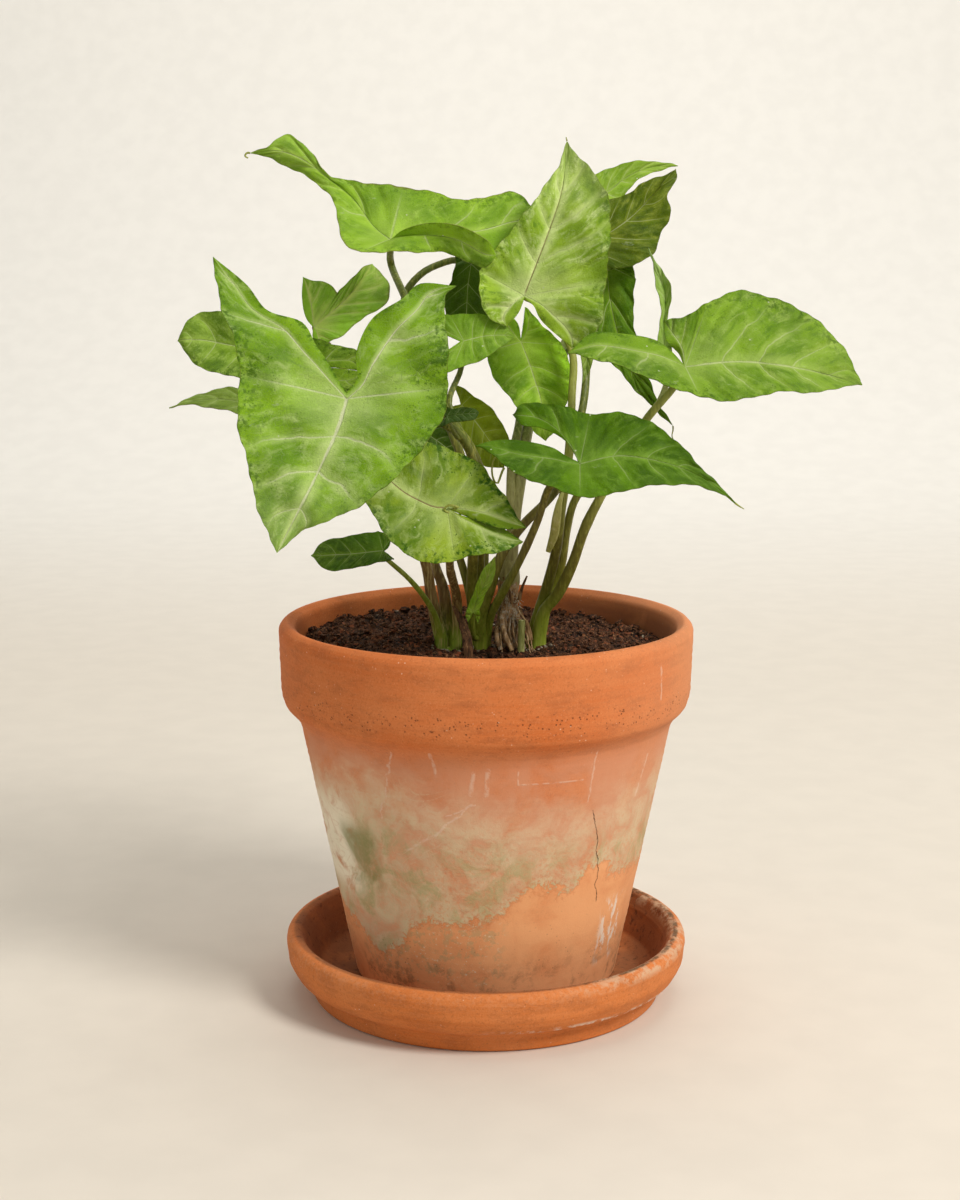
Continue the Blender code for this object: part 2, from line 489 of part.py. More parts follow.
PETIOLES = {
    "stems_left": [
        dict(leaf="leaf_left", foot=(-18, 4), radii=(2.7, 1.5),
             via=[(432, 600, 4), (426, 564, 2), (405, 505, -4), (365, 440, -4), (325, 395, 2)]),
        dict(leaf="leaf_back_left", foot=(-15, 8), radii=(2.5, 1.5),
             via=[(444, 590, 9), (434, 564, 10), (415, 500, 14), (385, 440, 18), (350, 380, 20), (328, 345, 30)]),
        dict(leaf="leaf_left_narrow", foot=(-16, 6), radii=(2.2, 1.4),
             via=[(440, 580, 11), (405, 500, 24), (360, 445, 34), (322, 427, 40)]),
        dict(leaf="leaf_lower_centre", foot=(-12, 3), radii=(2.3, 1.5),
             via=[(457, 600, 0), (450, 568, -14), (451, 540, -30)]),
        dict(leaf="leaf_low_left", foot=(-18, 3), radii=(1.5, 1.0), via=[(434, 613, 0), (412, 582, -7)]),
    ],
    "stems_middle": [
        dict(leaf="leaf_top_left", foot=(-4, 9), radii=(2.7, 1.5),
             via=[(478, 588, 4), (480, 540, -3), (482, 480, -12), (470, 447, -18), (446, 413, -25),
                  (427, 344, -28), (405, 297, -16), (391, 264, 6)]),
        dict(leaf="leaf_front_left", foot=(-4.2, 6.5), radii=(2.6, 1.7),
             via=[(472, 590, 0), (474, 540, -8), (476, 475, -16), (462, 438, -26), (436, 420, -36),
                  (395, 407, -46), (365, 400, -52)]),
        dict(leaf="leaf_centre_left", foot=(-3, 8), radii=(2.0, 1.2),
             via=[(478, 560, 2), (478, 480, -8), (458, 425, -14), (449, 403, -12), (461, 369, -2)]),
        dict(leaf="leaf_back_dark", foot=(-4, 10), radii=(2.2, 1.6),
             via=[(476, 570, 8), (470, 490, 2), (455, 440, 0), (436, 400, 3), (413, 350, 18), (405, 296, 30),
                  (421, 274, 34), (440, 264, 36), (458, 260, 34)]),
        dict(leaf="leaf_olive", foot=(-2, 10), radii=(2.0, 1.4),
             via=[(484, 590, 12), (484, 530, 20), (472, 460, 32), (464, 425, 32)]),
        dict(leaf="leaf_dark_curl", foot=(-4, 7), radii=(1.6, 1.0),
             via=[(479, 560, 0), (481, 485, -12), (466, 446, -20), (456, 436, -30)]),
        dict(leaf="leaf_shade", foot=(-4.5, 7), radii=(2.0, 1.3),
             via=[(473, 612, 6), (461, 562, 6), (440, 510, 14), (422, 455, 26)]),
        dict(leaf="leaf_right_low", foot=(0, 5), radii=(2.0, 1.5),
             via=[(490, 617, 0), (503, 592, -7), (520, 560, -10), (538, 520, -13), (549, 488, -18), (566, 474, -30)]),
        dict(leaf="leaf_top_right", foot=(-2, 4), radii=(2.4, 1.5),
             via=[(480, 622, 0), (490, 590, -5), (503, 552, -8), (524, 524, -5), (545, 503, -1), (557, 488, 3),
                  (572, 445, 15), (582, 411, 21), (586, 379, 27), (587, 320, 34), (584, 280, 46)]),
        dict(leaf="leaf_curled_tip", radii=(1.0, 0.8), via=[(586.5, 352, 30.2), (587.5, 346, 28.6)]),
        dict(leaf="leaf_young", foot=(-3.5, 4), radii=(1.5, 1.1), via=[(473, 636, -6)]),
    ],
    "stems_right": [
        dict(leaf="leaf_top_centre", foot=(19, 9), radii=(2.6, 1.4),
             via=[(537, 620, 8), (548, 583, 5), (557, 546, 1), (561, 510, -3), (566, 480, -4), (570, 440, 0),
                  (572, 395, 7), (572, 352, 12), (552, 318, 16), (536, 303, 15)]),
        dict(leaf="leaf_narrow_right", foot=(22, 10), radii=(2.3, 1.2),
             via=[(548, 600, 10), (560, 570, 8), (567, 528, 5), (576, 498, 2), (608, 460, 0), (646, 421, 0),
                  (662, 396, 8), (668, 370, 22)]),
        dict(leaf="leaf_right", foot=(21, 6), radii=(2.8, 1.6),
             via=[(544, 611, 4), (557, 595, 1), (572, 565, -3), (585, 528, -7), (600, 498, -10), (646, 420, -14),
                  (674, 387, -16)]),
    ],
    "stems_back": [
        dict(leaf="leaf_centre", foot=(10.5, 9), radii=(2.4, 1.6),
             via=[(512, 540, 10), (511, 498, 12), (512, 460, 16), (519, 424, 24), (522, 385, 36), (522, 358, 36)]),
        dict(leaf="leaf_hanging", foot=(9.5, 8), radii=(2.9, 1.6),
             via=[(512, 545, 9), (516, 509, 12), (521, 476, 15), (528, 426, 26), (545, 380, 44), (575, 325, 62),
                  (600, 285, 64)]),
        dict(leaf="leaf_top_right_back", foot=(9.5, 9), radii=(2.2, 1.4),
             via=[(513, 540, 11), (517, 500, 14), (524, 460, 20), (532, 420, 32), (556, 370, 52), (580, 320, 70),
                  (590, 260, 74), (589, 222, 68)]),
    ],
}


def tube(name, path, radii, sides=PETIOLE_SIDES, flat=1.0):
    """A closed round bar along a path, with a radius for each point of the path."""
    path = np.asarray(path, float)
    along = np.gradient(path, axis=0)
    along /= np.linalg.norm(along, axis=1)[:, None]
    side = np.cross(along[0], (0.0, 1.0, 0.0))
    points = []
    for centre, ahead, radius in zip(path, along, radii):
        side = side - ahead * np.dot(side, ahead)
        side /= np.linalg.norm(side)
        up = np.cross(ahead, side)
        for i in range(sides):
            angle = 2 * math.pi * i / sides
            points.append(centre + radius * (math.cos(angle) * side + flat * math.sin(angle) * up))
    faces = []
    for ring in range(len(path) - 1):
        for i in range(sides):
            a, b = ring * sides + i, ring * sides + (i + 1) % sides
            faces += [(a, b, b + sides), (a, b + sides, a + sides)]
    faces.append(tuple(range(sides))[::-1])
    last = (len(path) - 1) * sides
    faces.append(tuple(range(last, last + sides)))
    return object_from(name, points, faces)


def petiole(name, data, start_height):
    """A petiole from its foot, or from the stem it branches off, to just under the middle of its blade."""
    points, faces = leaf_sheet(LEAVES[data["leaf"]])
    hub, normal = points[0], sheet_normals(points, faces)[0]
    route = [spot(*place) for place in data["via"]]
    if np.dot(route[-1] - hub, normal) > 0:
        normal = -normal
    end = hub - normal * (BLADE / 2 + GAP)
    knee = end - normal * KNEE
    foot = []
    if "foot" in data:
        foot = [np.array([*data["foot"], start_height])]
        route.insert(0, np.array([*data["foot"], max(SOIL_TOP, start_height) + 2.0]))
    length = np.linalg.norm(np.diff([*route, knee], axis=0), axis=1).sum()
    path = np.vstack([*foot, smooth_line([*route, knee], max(FEWEST_STEPS, int(length / PETIOLE_STEP))), end])
    widths = np.linspace(*data["radii"], len(path))
    widths[-1] *= TIP_SHARE
    return tube(name, path, widths)


def joined(name, pieces, finish):
    """One body made of overlapping pieces."""
    helpers = bpy.data.collections.new(name + "_pieces")
    bpy.context.scene.collection.children.link(helpers)
    base, *others = pieces
    for piece in others:
        bpy.context.scene.collection.objects.unlink(piece)
        helpers.objects.link(piece)
    union = base.modifiers.new("union", "BOOLEAN")
    union.operation = "UNION"
    union.operand_type = "COLLECTION"
    union.collection = helpers
    union.solver = "EXACT"
    union.use_self = True
    graph = bpy.context.evaluated_depsgraph_get()
    mesh = bpy.data.meshes.new_from_object(base.evaluated_get(graph))
    for piece in [base, *others]:
        bpy.data.objects.remove(piece, do_unlink=True)
    bpy.data.collections.remove(helpers)
    mesh.name = name
    return placed(name, mesh, finish)


def clump_foot(name, at, radius):
    """The short upright foot of a clump, rounded at the top."""
    heights = [SOIL_TOP - FOOT_DEPTH, SOIL_TOP + 1.5, SOIL_TOP + 3.5]
    path = [(*at, height) for height in heights]
    return tube(name, path, [radius, radius, radius * 0.72], sides=HOLE_SIDES)


def make_clump(name):
    clump = CLUMPS[name]
    pieces = [clump_foot(name + "_foot", clump["at"], clump["radius"])]
    for place, data in enumerate(PETIOLES[name]):
        pieces.append(petiole(f"{name}_{place}", data, SOIL_TOP - 6.0))
    return joined(name, pieces, material(name, clump["colour"], 0.5))


def make_back_stems():
    """The taller stems that grow from the top of the woody stump."""
    start = STUMP_TOP + GAP
    pieces = [tube("back_foot", [(*STUMP_AT, start), (*STUMP_AT, start + 4.0)], [STUMP_RADIUS - 0.4, 3.6], 10)]
    for place, data in enumerate(PETIOLES["stems_back"]):
        pieces.append(petiole(f"back_{place}", data, start + 1.0))
    return joined("stems_back", pieces, material("stems_back", (0.30, 0.33, 0.14), 0.5))


def make_stump():
    """The old woody stem with thick aerial roots that arch down round it."""
    x, y = STUMP_AT
    trunk = [(x, y, SOIL_TOP - FOOT_DEPTH), (x, y, SOIL_TOP + 1.5), (x - 0.6, y, SOIL_TOP + 9), (x, y, STUMP_TOP)]
    pieces = [tube("trunk", trunk, [STUMP_RADIUS, STUMP_RADIUS, STUMP_RADIUS + 0.3, STUMP_RADIUS - 0.4], HOLE_SIDES)]
    roots = [[(x, y, 158), (x - 3, y - 5, 155), (x - 2, y - 9, 148), (x + 1, y - 11, 142.6)],
             [(x, y, 153), (x - 4, y - 4, 151), (x - 5, y - 8, 146), (x - 3.5, y - 10, 142.6)],
             [(x, y, 156), (x + 4, y - 4, 152), (x + 4, y - 7, 146.5), (x + 6, y - 8, 142.8)]]
    for place, root in enumerate(roots):
        path = smooth_line(root, 5)
        pieces.append(tube(f"root_{place}", path, np.linspace(1.3, 0.9, len(path)), 6))
    return joined("woody_stump", pieces, material("wood", (0.20, 0.13, 0.07), 0.85))


def make_stub():
    x, y = STUB_AT
    tall = [(x, y, SOIL_TOP - 8), (x, y, SOIL_TOP), (x + 0.3, y, SOIL_TOP + 11)]
    made = tube("cut_stub", tall, [STUB_RADIUS] * 3, 9)
    made.data.materials.append(material("stub", (0.38, 0.40, 0.16), 0.6))
    return made


def make_sheath():
    """A dried brown leaf base that stands in front of the clumps."""
    x, y = SHEATH_AT
    route = [(x, y, SOIL_TOP - 8), (x, y, SOIL_TOP + 2), spot(467, 638, -16), spot(461, 620, -11), spot(453, 606, -9)]
    path = smooth_line(route, 6)
    made = tube("dried_sheath", path, [SHEATH_RADIUS] * 3 + [1.8, 1.5, 1.2, 0.5], 9, flat=0.6)
    made.data.materials.append(material("dried", (0.16, 0.09, 0.04), 0.8))
    return made


def cut_holes(soil):
    """Plain upright holes in the soil, one for each foot that stands in it."""
    feet = [(clump["at"], clump["radius"]) for clump in CLUMPS.values()]
    feet += [(STUMP_AT, STUMP_RADIUS), (STUB_AT, STUB_RADIUS), (SHEATH_AT, SHEATH_RADIUS)]
    for place, (at, radius) in enumerate(feet):
        depth = FOOT_DEPTH + 1.0 if radius > 3 else 9.0
        path = [(*at, SOIL_TOP - depth), (*at, SOIL_TOP + 8.0)]
        cutter = tube(f"hole_{place}", path, [radius + GAP] * 2, HOLE_SIDES)
        cutter.hide_render = True
        cutter.display_type = "WIRE"
        cut = soil.modifiers.new(cutter.name, "BOOLEAN")
        cut.operation = "DIFFERENCE"
        cut.object = cutter


def make_leaf(name, leaf):
    points, faces = leaf_sheet(leaf)
    solid, sides = thickened(points, faces, BLADE)
    return object_from(name, solid, sides, material(name, leaf["colour"], 0.45))


def main():
    clear_scene()
    clay = material("terracotta", (0.56, 0.16, 0.05), 0.85)
    make_pot(clay)
    make_saucer(clay.copy())
    cut_holes(make_soil(material("soil", (0.06, 0.03, 0.015), 0.95)))
    for name, leaf in LEAVES.items():
        make_leaf(name, leaf)
    for name in CLUMPS:
        make_clump(name)
    make_stump()
    make_back_stems()
    make_stub()
    make_sheath()


main()
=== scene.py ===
"""Arrowhead plant (Syngonium) in its clay pot and saucer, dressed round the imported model.

Tables are in millimetres and become metres when a mesh is made. +Z is up and the front looks along -Y.
A leaf's outline is given in pixels of a 960 x 1200 picture taken from EYE, with depths in millimetres
behind the pot's axis.
"""

import math

import bmesh
import bpy
import numpy as np
from bpy.props import FloatProperty, FloatVectorProperty, IntProperty, PointerProperty
from bpy.types import Operator, Panel, PropertyGroup
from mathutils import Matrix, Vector
from mathutils.noise import fractal


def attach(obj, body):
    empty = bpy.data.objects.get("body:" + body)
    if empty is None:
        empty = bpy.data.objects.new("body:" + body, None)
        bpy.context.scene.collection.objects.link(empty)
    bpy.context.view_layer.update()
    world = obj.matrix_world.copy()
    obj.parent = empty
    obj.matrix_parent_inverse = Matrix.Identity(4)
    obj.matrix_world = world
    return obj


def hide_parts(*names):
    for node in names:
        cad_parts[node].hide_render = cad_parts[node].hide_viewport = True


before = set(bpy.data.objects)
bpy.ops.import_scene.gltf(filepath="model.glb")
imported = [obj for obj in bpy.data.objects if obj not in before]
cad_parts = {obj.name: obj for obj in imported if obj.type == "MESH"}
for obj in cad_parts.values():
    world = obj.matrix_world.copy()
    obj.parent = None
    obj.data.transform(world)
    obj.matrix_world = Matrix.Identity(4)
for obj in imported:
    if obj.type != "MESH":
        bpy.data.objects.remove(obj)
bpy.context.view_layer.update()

bl_info = {
    "name": "Arrowhead Plant",
    "version": (1, 0, 0),
    "blender": (4, 5, 0),
    "location": "3D View > Sidebar > Arrowhead",
    "description": "Makes an arrowhead plant in a clay pot and saucer",
    "category": "Add Mesh",
}

MM = 0.001
MM_IN_METRE = 1000.0
SHARP = math.radians(50)

# Pot and saucer
RIM_RADIUS = 82.5
RIM_TOP = 154.4
LIP = 7.5
COLLAR_HEIGHT = 31.0
COLLAR_STEP = 7.5
BODY_TOP_RADIUS = 74.2
BASE_RADIUS = 52.0
WALL = 7.0
DRAIN_RADIUS = 8.0
SAUCER_RADIUS = 81.4
SAUCER_HEIGHT = 26.7
SAUCER_FOOT_RADIUS = 71.8
SAUCER_FLOOR = 7.0
FOOT_HEIGHT = 8.5
GAP = 0.3
POT_FOOT = SAUCER_FLOOR + GAP
POT_FLOOR = POT_FOOT + 9.0
SOIL_TOP = 143.0
FOOT_DEPTH = 16.0
NOTCH = 0.2
KNEE = 3.0
STALK_STEP = 3.0
SOIL_BUMP = 1.6
SOIL_EDGE = 74.9
STUMP_AT = (9.5, 8.0)
STUMP_RADIUS = 4.4
STUMP_TOP = 168.0
STUB_AT = (14.0, -4.0)
STUB_RADIUS = 1.4
SHEATH_AT = (-7.0, -18.0)
SHEATH_RADIUS = 1.9

# Where the picture is taken from, its downward tilt, its focal length and its middle
EYE = np.array([-2.4, -780.9, 302.8])
TILT = math.radians(10.26)
FOCAL = 1987.6
MIDDLE = (480.0, 600.0)
PIXELS_PER_MM = 2.5
PICTURE_HEIGHT = 1200
SENSOR = 36.0


# Colours, places and curves


def rgb(red, green, blue):
    """A colour from its three parts, 0 to 255 as a screen shows them."""
    parts = (red / 255, green / 255, blue / 255)
    return tuple(part / 12.92 if part < 0.04045 else ((part + 0.055) / 1.055) ** 2.4 for part in parts)


def spot(px, py, depth):
    """The point that shows at a pixel and lies depth behind the pot's axis."""
    across = (np.asarray(px, float) - MIDDLE[0]) / FOCAL
    up = (MIDDLE[1] - np.asarray(py, float)) / FOCAL
    cosine, sine = math.cos(TILT), math.sin(TILT)
    sight = np.stack([across, cosine + up * sine, up * cosine - sine], -1)
    reach = (depth - EYE[1]) / sight[..., 1]
    return EYE + sight * reach[..., None]


def smooth_line(points, count):
    """count + 1 evenly spaced points on a smooth curve through the given ones."""
    given = np.asarray(points, float)
    if len(given) == 2:
        return given[0] + (given[1] - given[0]) * np.linspace(0, 1, count + 1)[:, None]
    padded = np.vstack([2 * given[0] - given[1], given, 2 * given[-1] - given[-2]])
    fine = []
    for p0, p1, p2, p3 in zip(padded, padded[1:], padded[2:], padded[3:]):
        t0 = 0.0
        t1 = t0 + max(np.linalg.norm(p1 - p0), 1e-6) ** 0.5
        t2 = t1 + max(np.linalg.norm(p2 - p1), 1e-6) ** 0.5
        t3 = t2 + max(np.linalg.norm(p3 - p2), 1e-6) ** 0.5
        for t in np.linspace(t1, t2, 12, endpoint=False):
            a1 = (t1 - t) / (t1 - t0) * p0 + (t - t0) / (t1 - t0) * p1
            a2 = (t2 - t) / (t2 - t1) * p1 + (t - t1) / (t2 - t1) * p2
            a3 = (t3 - t) / (t3 - t2) * p2 + (t - t2) / (t3 - t2) * p3
            b1 = (t2 - t) / (t2 - t0) * a1 + (t - t0) / (t2 - t0) * a2
            b2 = (t3 - t) / (t3 - t1) * a2 + (t - t1) / (t3 - t1) * a3
            fine.append((t2 - t) / (t2 - t1) * b1 + (t - t1) / (t2 - t1) * b2)
    fine.append(given[-1])
    fine = np.array(fine)
    steps = np.concatenate([[0], np.cumsum(np.linalg.norm(np.diff(fine, axis=0), axis=1))])
    wanted = np.linspace(0, steps[-1], count + 1)
    return np.stack([np.interp(wanted, steps, fine[:, i]) for i in range(fine.shape[1])], -1)


# Meshes


def piece(name, points, faces, finish, replaces=()):
    """A shown piece from points in millimetres, standing on the pot's body and taking a node's place."""
    mesh = bpy.data.meshes.new(name)
    mesh.from_pydata((np.asarray(points) * MM).tolist(), [], [tuple(map(int, face)) for face in faces])
    mesh.materials.append(finish)
    mesh.shade_smooth()
    mesh.set_sharp_from_angle(angle=SHARP)
    made = bpy.data.objects.new(name, mesh)
    bpy.context.scene.collection.objects.link(made)
    return shown(made, replaces)


def shown(made, replaces=()):
    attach(made, "root")
    if replaces:
        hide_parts(*replaces)
    return made


def tube(path, radii, sides=14, flat=1.0, groove=0.0, lumps=0.0, seed=0):
    """Points and faces of a closed round bar, with a radius for each point of its path."""
    path = np.asarray(path, float)
    along = np.gradient(path, axis=0)
    along /= np.linalg.norm(along, axis=1)[:, None]
    side = np.cross(along[0], (0.0, 1.0, 0.0))
    draw = np.random.default_rng(seed)
    turn = 2 * math.pi * np.arange(sides) / sides
    points = []
    for centre, ahead, radius in zip(path, along, radii):
        side = side - ahead * np.dot(side, ahead)
        side /= np.linalg.norm(side)
        up = np.cross(ahead, side)
        reach = radius * (1 - groove * np.exp(-((turn - math.pi / 2) / 0.5) ** 2))
        reach = reach * (1 + lumps * draw.normal(size=sides))
        spokes = np.cos(turn)[:, None] * side + flat * np.sin(turn)[:, None] * up
        points += list(centre + reach[:, None] * spokes)
    faces = []
    for ring in range(len(path) - 1):
        for i in range(sides):
            a, b = ring * sides + i, ring * sides + (i + 1) % sides
            faces.append((a, b, b + sides, a + sides))
    last = (len(path) - 1) * sides
    faces.append(tuple(range(sides))[::-1])
    faces.append(tuple(range(last, last + sides)))
    return np.array(points), faces


def gathered(parts):
    """Points and faces of several meshes as one list."""
    points, faces, count = [], [], 0
    for some, their_faces in parts:
        points.append(some)
        faces += [tuple(i + count for i in face) for face in their_faces]
        count += len(some)
    return np.vstack(points), faces


def fused(name, parts, finish, replaces=()):
    """One body made of overlapping closed meshes."""
    helpers = bpy.data.collections.new(name + "_pieces")
    bpy.context.scene.collection.children.link(helpers)
    made = []
    for place, (points, faces) in enumerate(parts):
        mesh = bpy.data.meshes.new(f"{name}_{place}")
        mesh.from_pydata((points * MM).tolist(), [], [tuple(map(int, face)) for face in faces])
        made.append(bpy.data.objects.new(mesh.name, mesh))
        (helpers if place else bpy.context.scene.collection).objects.link(made[-1])
    union = made[0].modifiers.new("union", "BOOLEAN")
    union.operation = "UNION"
    union.operand_type = "COLLECTION"
    union.collection = helpers
    union.solver = "MANIFOLD"
    graph = bpy.context.evaluated_depsgraph_get()
    mesh = bpy.data.meshes.new_from_object(made[0].evaluated_get(graph))
    for obj in made:
        bpy.data.objects.remove(obj, do_unlink=True)
    bpy.data.collections.remove(helpers)
    if not mesh.polygons:
        raise RuntimeError(f"{name}: the union left nothing")
    mesh.name = name
    mesh.materials.clear()
    mesh.materials.append(finish)
    mesh.shade_smooth()
    mesh.set_sharp_from_angle(angle=SHARP)
    whole = bpy.data.objects.new(name, mesh)
    bpy.context.scene.collection.objects.link(whole)
    return shown(whole, replaces)


# Materials


class Graph:
    """Adds nodes to one tree. An input takes a number, a colour or another node's socket."""

    def __init__(self, tree):
        self.tree = tree

    def node(self, kind, inputs=(), **settings):
        made = self.tree.nodes.new("ShaderNode" + kind)
        for name, value in settings.items():
            setattr(made, name, value)
        for name, value in dict(inputs).items():
            self.set(made.inputs[name], value)
        return made

    def set(self, socket, value):
        if isinstance(value, bpy.types.NodeSocket):
            self.tree.links.new(value, socket)
        elif socket.type == "RGBA" and len(value) == 3:
            socket.default_value = (*value, 1.0)
        else:
            socket.default_value = value

    def math(self, operation, *values, clamp=False):
        made = self.node("Math", operation=operation, use_clamp=clamp)
        for socket, value in zip(made.inputs, values):
            self.set(socket, value)
        return made.outputs[0]

    def times(self, *values):
        result = values[0]
        for value in values[1:]:
            result = self.math("MULTIPLY", result, value)
        return result

    def plus(self, *values):
        result = values[0]
        for value in values[1:]:
            result = self.math("ADD", result, value)
        return result

    def most(self, *values):
        result = values[0]
        for value in values[1:]:
            result = self.math("MAXIMUM", result, value)
        return result

    def span(self, value, low, high, start=0.0, end=1.0):
        """A value that goes smoothly from start to end while its source goes from low to high."""
        made = self.node("MapRange", {"Value": value, "From Min": low, "From Max": high, "To Min": start,
                                      "To Max": end}, interpolation_type="SMOOTHSTEP")
        return made.outputs["Result"]

    def mix(self, factor, one, other, blend="MIX"):
        made = self.node("Mix", data_type="RGBA", blend_type=blend)
        for place, value in ((0, factor), (6, one), (7, other)):
            self.set(made.inputs[place], value)
        return made.outputs[2]

    def noise(self, vector, scale, detail=3.0, roughness=0.5, distortion=0.0):
        return self.node("TexNoise",
                         {"Vector": vector, "Scale": scale, "Detail": detail, "Roughness": roughness,
                                      "Distortion": distortion}).outputs["Fac"]

    def cells(self, vector, scale, feature="F1"):
        return self.node("TexVoronoi", {"Vector": vector, "Scale": scale},
                         feature=feature).outputs["Distance"]

    def stretched(self, vector, scale):
        return self.node("Mapping", {"Vector": vector, "Scale": scale}).outputs["Vector"]

    def place(self):
        """The point on the surface, in metres."""
        return self.node("TexCoord").outputs["Object"]

    def parts(self, vector):
        return self.node("SeparateXYZ", {"Vector": vector}).outputs

    def use(self, group, **inputs):
        made = self.node("Group")
        made.node_tree = group
        for name, value in inputs.items():
            self.set(made.inputs[name.replace("_", " ")], value)
        return made.outputs


def new_group(name, inputs, outputs):
    """A shader node group: its graph, its inputs and a way to set its outputs."""
    tree = bpy.data.node_groups.new(name, "ShaderNodeTree")
    for label, default in inputs.items():
        colour = isinstance(default, tuple)
        socket = tree.interface.new_socket(label, in_out="INPUT",
                                           socket_type="NodeSocketColor" if colour else "NodeSocketFloat")
        socket.default_value = (*default, 1.0) if colour else default
    for label, kind in outputs.items():
        tree.interface.new_socket(label, in_out="OUTPUT", socket_type="NodeSocket" + kind)
    graph = Graph(tree)
    return graph, tree.nodes.new("NodeGroupInput").outputs, tree.nodes.new("NodeGroupOutput").inputs


def new_material(name):
    """A material's graph and its Principled shader."""
    made = bpy.data.materials.new(name)
    made.use_nodes = True
    return Graph(made.node_tree), made.node_tree.nodes["Principled BSDF"]


def bumped(graph, height, distance, strength=1.0):
    return graph.node("Bump",
                      {"Height": height, "Distance": distance, "Strength": strength}).outputs["Normal"]


# Fired clay


def clay_group():
    """Turned and fired clay: turning lines, grain, flecks and pits."""
    g, given, out = new_group(
        "Turned Clay",
        {"Clay": (0.6, 0.2, 0.07), "Pale": (0.8, 0.45, 0.26), "Dark": (0.3, 0.09, 0.03), "Pits": 0.0,
         "Lines": 0.5},
        {"Colour": "Color", "Roughness": "Float", "Height": "Float"})
    place = g.place()
    lines = g.noise(g.stretched(place, (6, 6, 900)), 1.0, 4.0, 0.65)
    broad = g.noise(place, 28.0, 4.0, 0.6)
    grain = g.noise(place, 1500.0, 3.0, 0.7)
    flecks = g.span(g.cells(place, 420.0), 0.16, 0.06)
    flecks = g.times(flecks, g.span(g.noise(place, 90.0), 0.52, 0.66))
    pits = g.times(g.span(g.cells(place, 640.0), 0.26, 0.12), g.span(g.noise(place, 210.0), 0.45, 0.6),
                   given["Pits"])
    streak = g.times(g.span(lines, 0.35, 0.65), given["Lines"])
    weathered = g.times(g.span(g.noise(g.stretched(place, (1, 1, 3)), 60.0, 6.0, 0.68), 0.46, 0.66), 0.30)
    colour = g.mix(g.times(g.span(broad, 0.3, 0.7), 0.35), given["Clay"], given["Pale"])
    colour = g.mix(g.times(streak, 0.30), colour, given["Pale"])
    colour = g.mix(weathered, colour, given["Dark"])
    sand = g.noise(place, 650.0, 4.0, 0.7)
    colour = g.mix(g.times(g.span(grain, 0.55, 0.72), 0.45), colour, given["Dark"])
    colour = g.mix(g.times(g.span(grain, 0.45, 0.30), 0.45), colour, given["Pale"])
    colour = g.mix(g.times(g.span(sand, 0.54, 0.68), 0.30), colour, given["Dark"])
    colour = g.mix(g.times(flecks, 0.5), colour, (0.92, 0.74, 0.55))
    colour = g.mix(g.times(pits, 0.75), colour, given["Dark"])
    g.set(out["Colour"], colour)
    g.set(out["Roughness"], g.span(broad, 0.2, 0.8, 0.72, 0.9))
    height = g.plus(g.times(lines, given["Lines"], 0.5), g.times(grain, 0.35), g.times(pits, -1.2))
    g.set(out["Height"], height)
    return g.tree


def line_group():
    """A mark along a straight line between two places on the wall, given as arc and height in millimetres."""
    g, given, out = new_group(
        "Wall Line",
        {"Arc": 0.0, "Height": 0.0, "From Arc": 0.0, "From Height": 0.0, "To Arc": 1.0, "To Height": 1.0,
         "Width": 0.5, "Waver": 0.0, "Breaks": 0.0},
        {"Mask": "Float"})
    place = g.place()
    shift = g.times(g.math("SUBTRACT", g.noise(place, 140.0, 4.0, 0.6), 0.5), given["Waver"])
    run = g.math("SUBTRACT", given["To Arc"], given["From Arc"])
    rise = g.math("SUBTRACT", given["To Height"], given["From Height"])
    across = g.math("SUBTRACT", g.plus(given["Arc"], shift), given["From Arc"])
    up = g.math("SUBTRACT", given["Height"], given["From Height"])
    length = g.plus(g.times(run, run), g.times(rise, rise))
    share = g.math("DIVIDE", g.plus(g.times(across, run), g.times(up, rise)), length, clamp=True)
    far_across = g.math("SUBTRACT", across, g.times(share, run))
    far_up = g.math("SUBTRACT", up, g.times(share, rise))
    far = g.math("SQRT", g.plus(g.times(far_across, far_across), g.times(far_up, far_up)))
    mask = g.math("SUBTRACT", 1.0, g.math("DIVIDE", far, given["Width"]), clamp=True)
    gaps = g.span(g.noise(place, 420.0, 3.0, 0.6), 0.38, 0.55)
    kept = g.math("SUBTRACT", 1.0, g.times(given["Breaks"], g.math("SUBTRACT", 1.0, gaps)))
    g.set(out["Mask"], g.times(g.math("POWER", mask, 0.5), kept))
    return g.tree


def wall_place(g):
    """Arc round the pot and height, both in millimetres, and a mask that fades out at the back."""
    x, y, z = g.parts(g.place())
    arc = g.times(g.math("ARCTAN2", x, g.times(y, -1.0)), 65.0)
    front = g.span(g.math("ABSOLUTE", arc), 195.0, 130.0)
    return arc, g.times(z, MM_IN_METRE), front


def from_axis(g, place):
    """Distance from the pot's axis, in millimetres."""
    x, y, _ = g.parts(place)
    return g.times(g.math("SQRT", g.plus(g.times(x, x), g.times(y, y))), MM_IN_METRE)


def curve_of(g, value, low, high, points):
    """A smooth curve through (source, result) points."""
    made = g.node("FloatCurve",
                  {"Value": g.math("DIVIDE", g.math("SUBTRACT", value, low), high - low, clamp=True)})
    curve = made.mapping.curves[0]
    top = max(result for _, result in points)
    for place, (source, result) in enumerate(points):
        where = ((source - low) / (high - low), result / top)
        if place < 2:
            curve.points[place].location = where
        else:
            curve.points.new(*where)
    made.mapping.update()
    return g.times(made.outputs["Value"], top)


def within(g, value, low, high, soft):
    """A mask that is 1 between low and high and fades out over soft on each side."""
    return g.times(g.span(value, low - soft, low), g.span(value, high + soft, high))


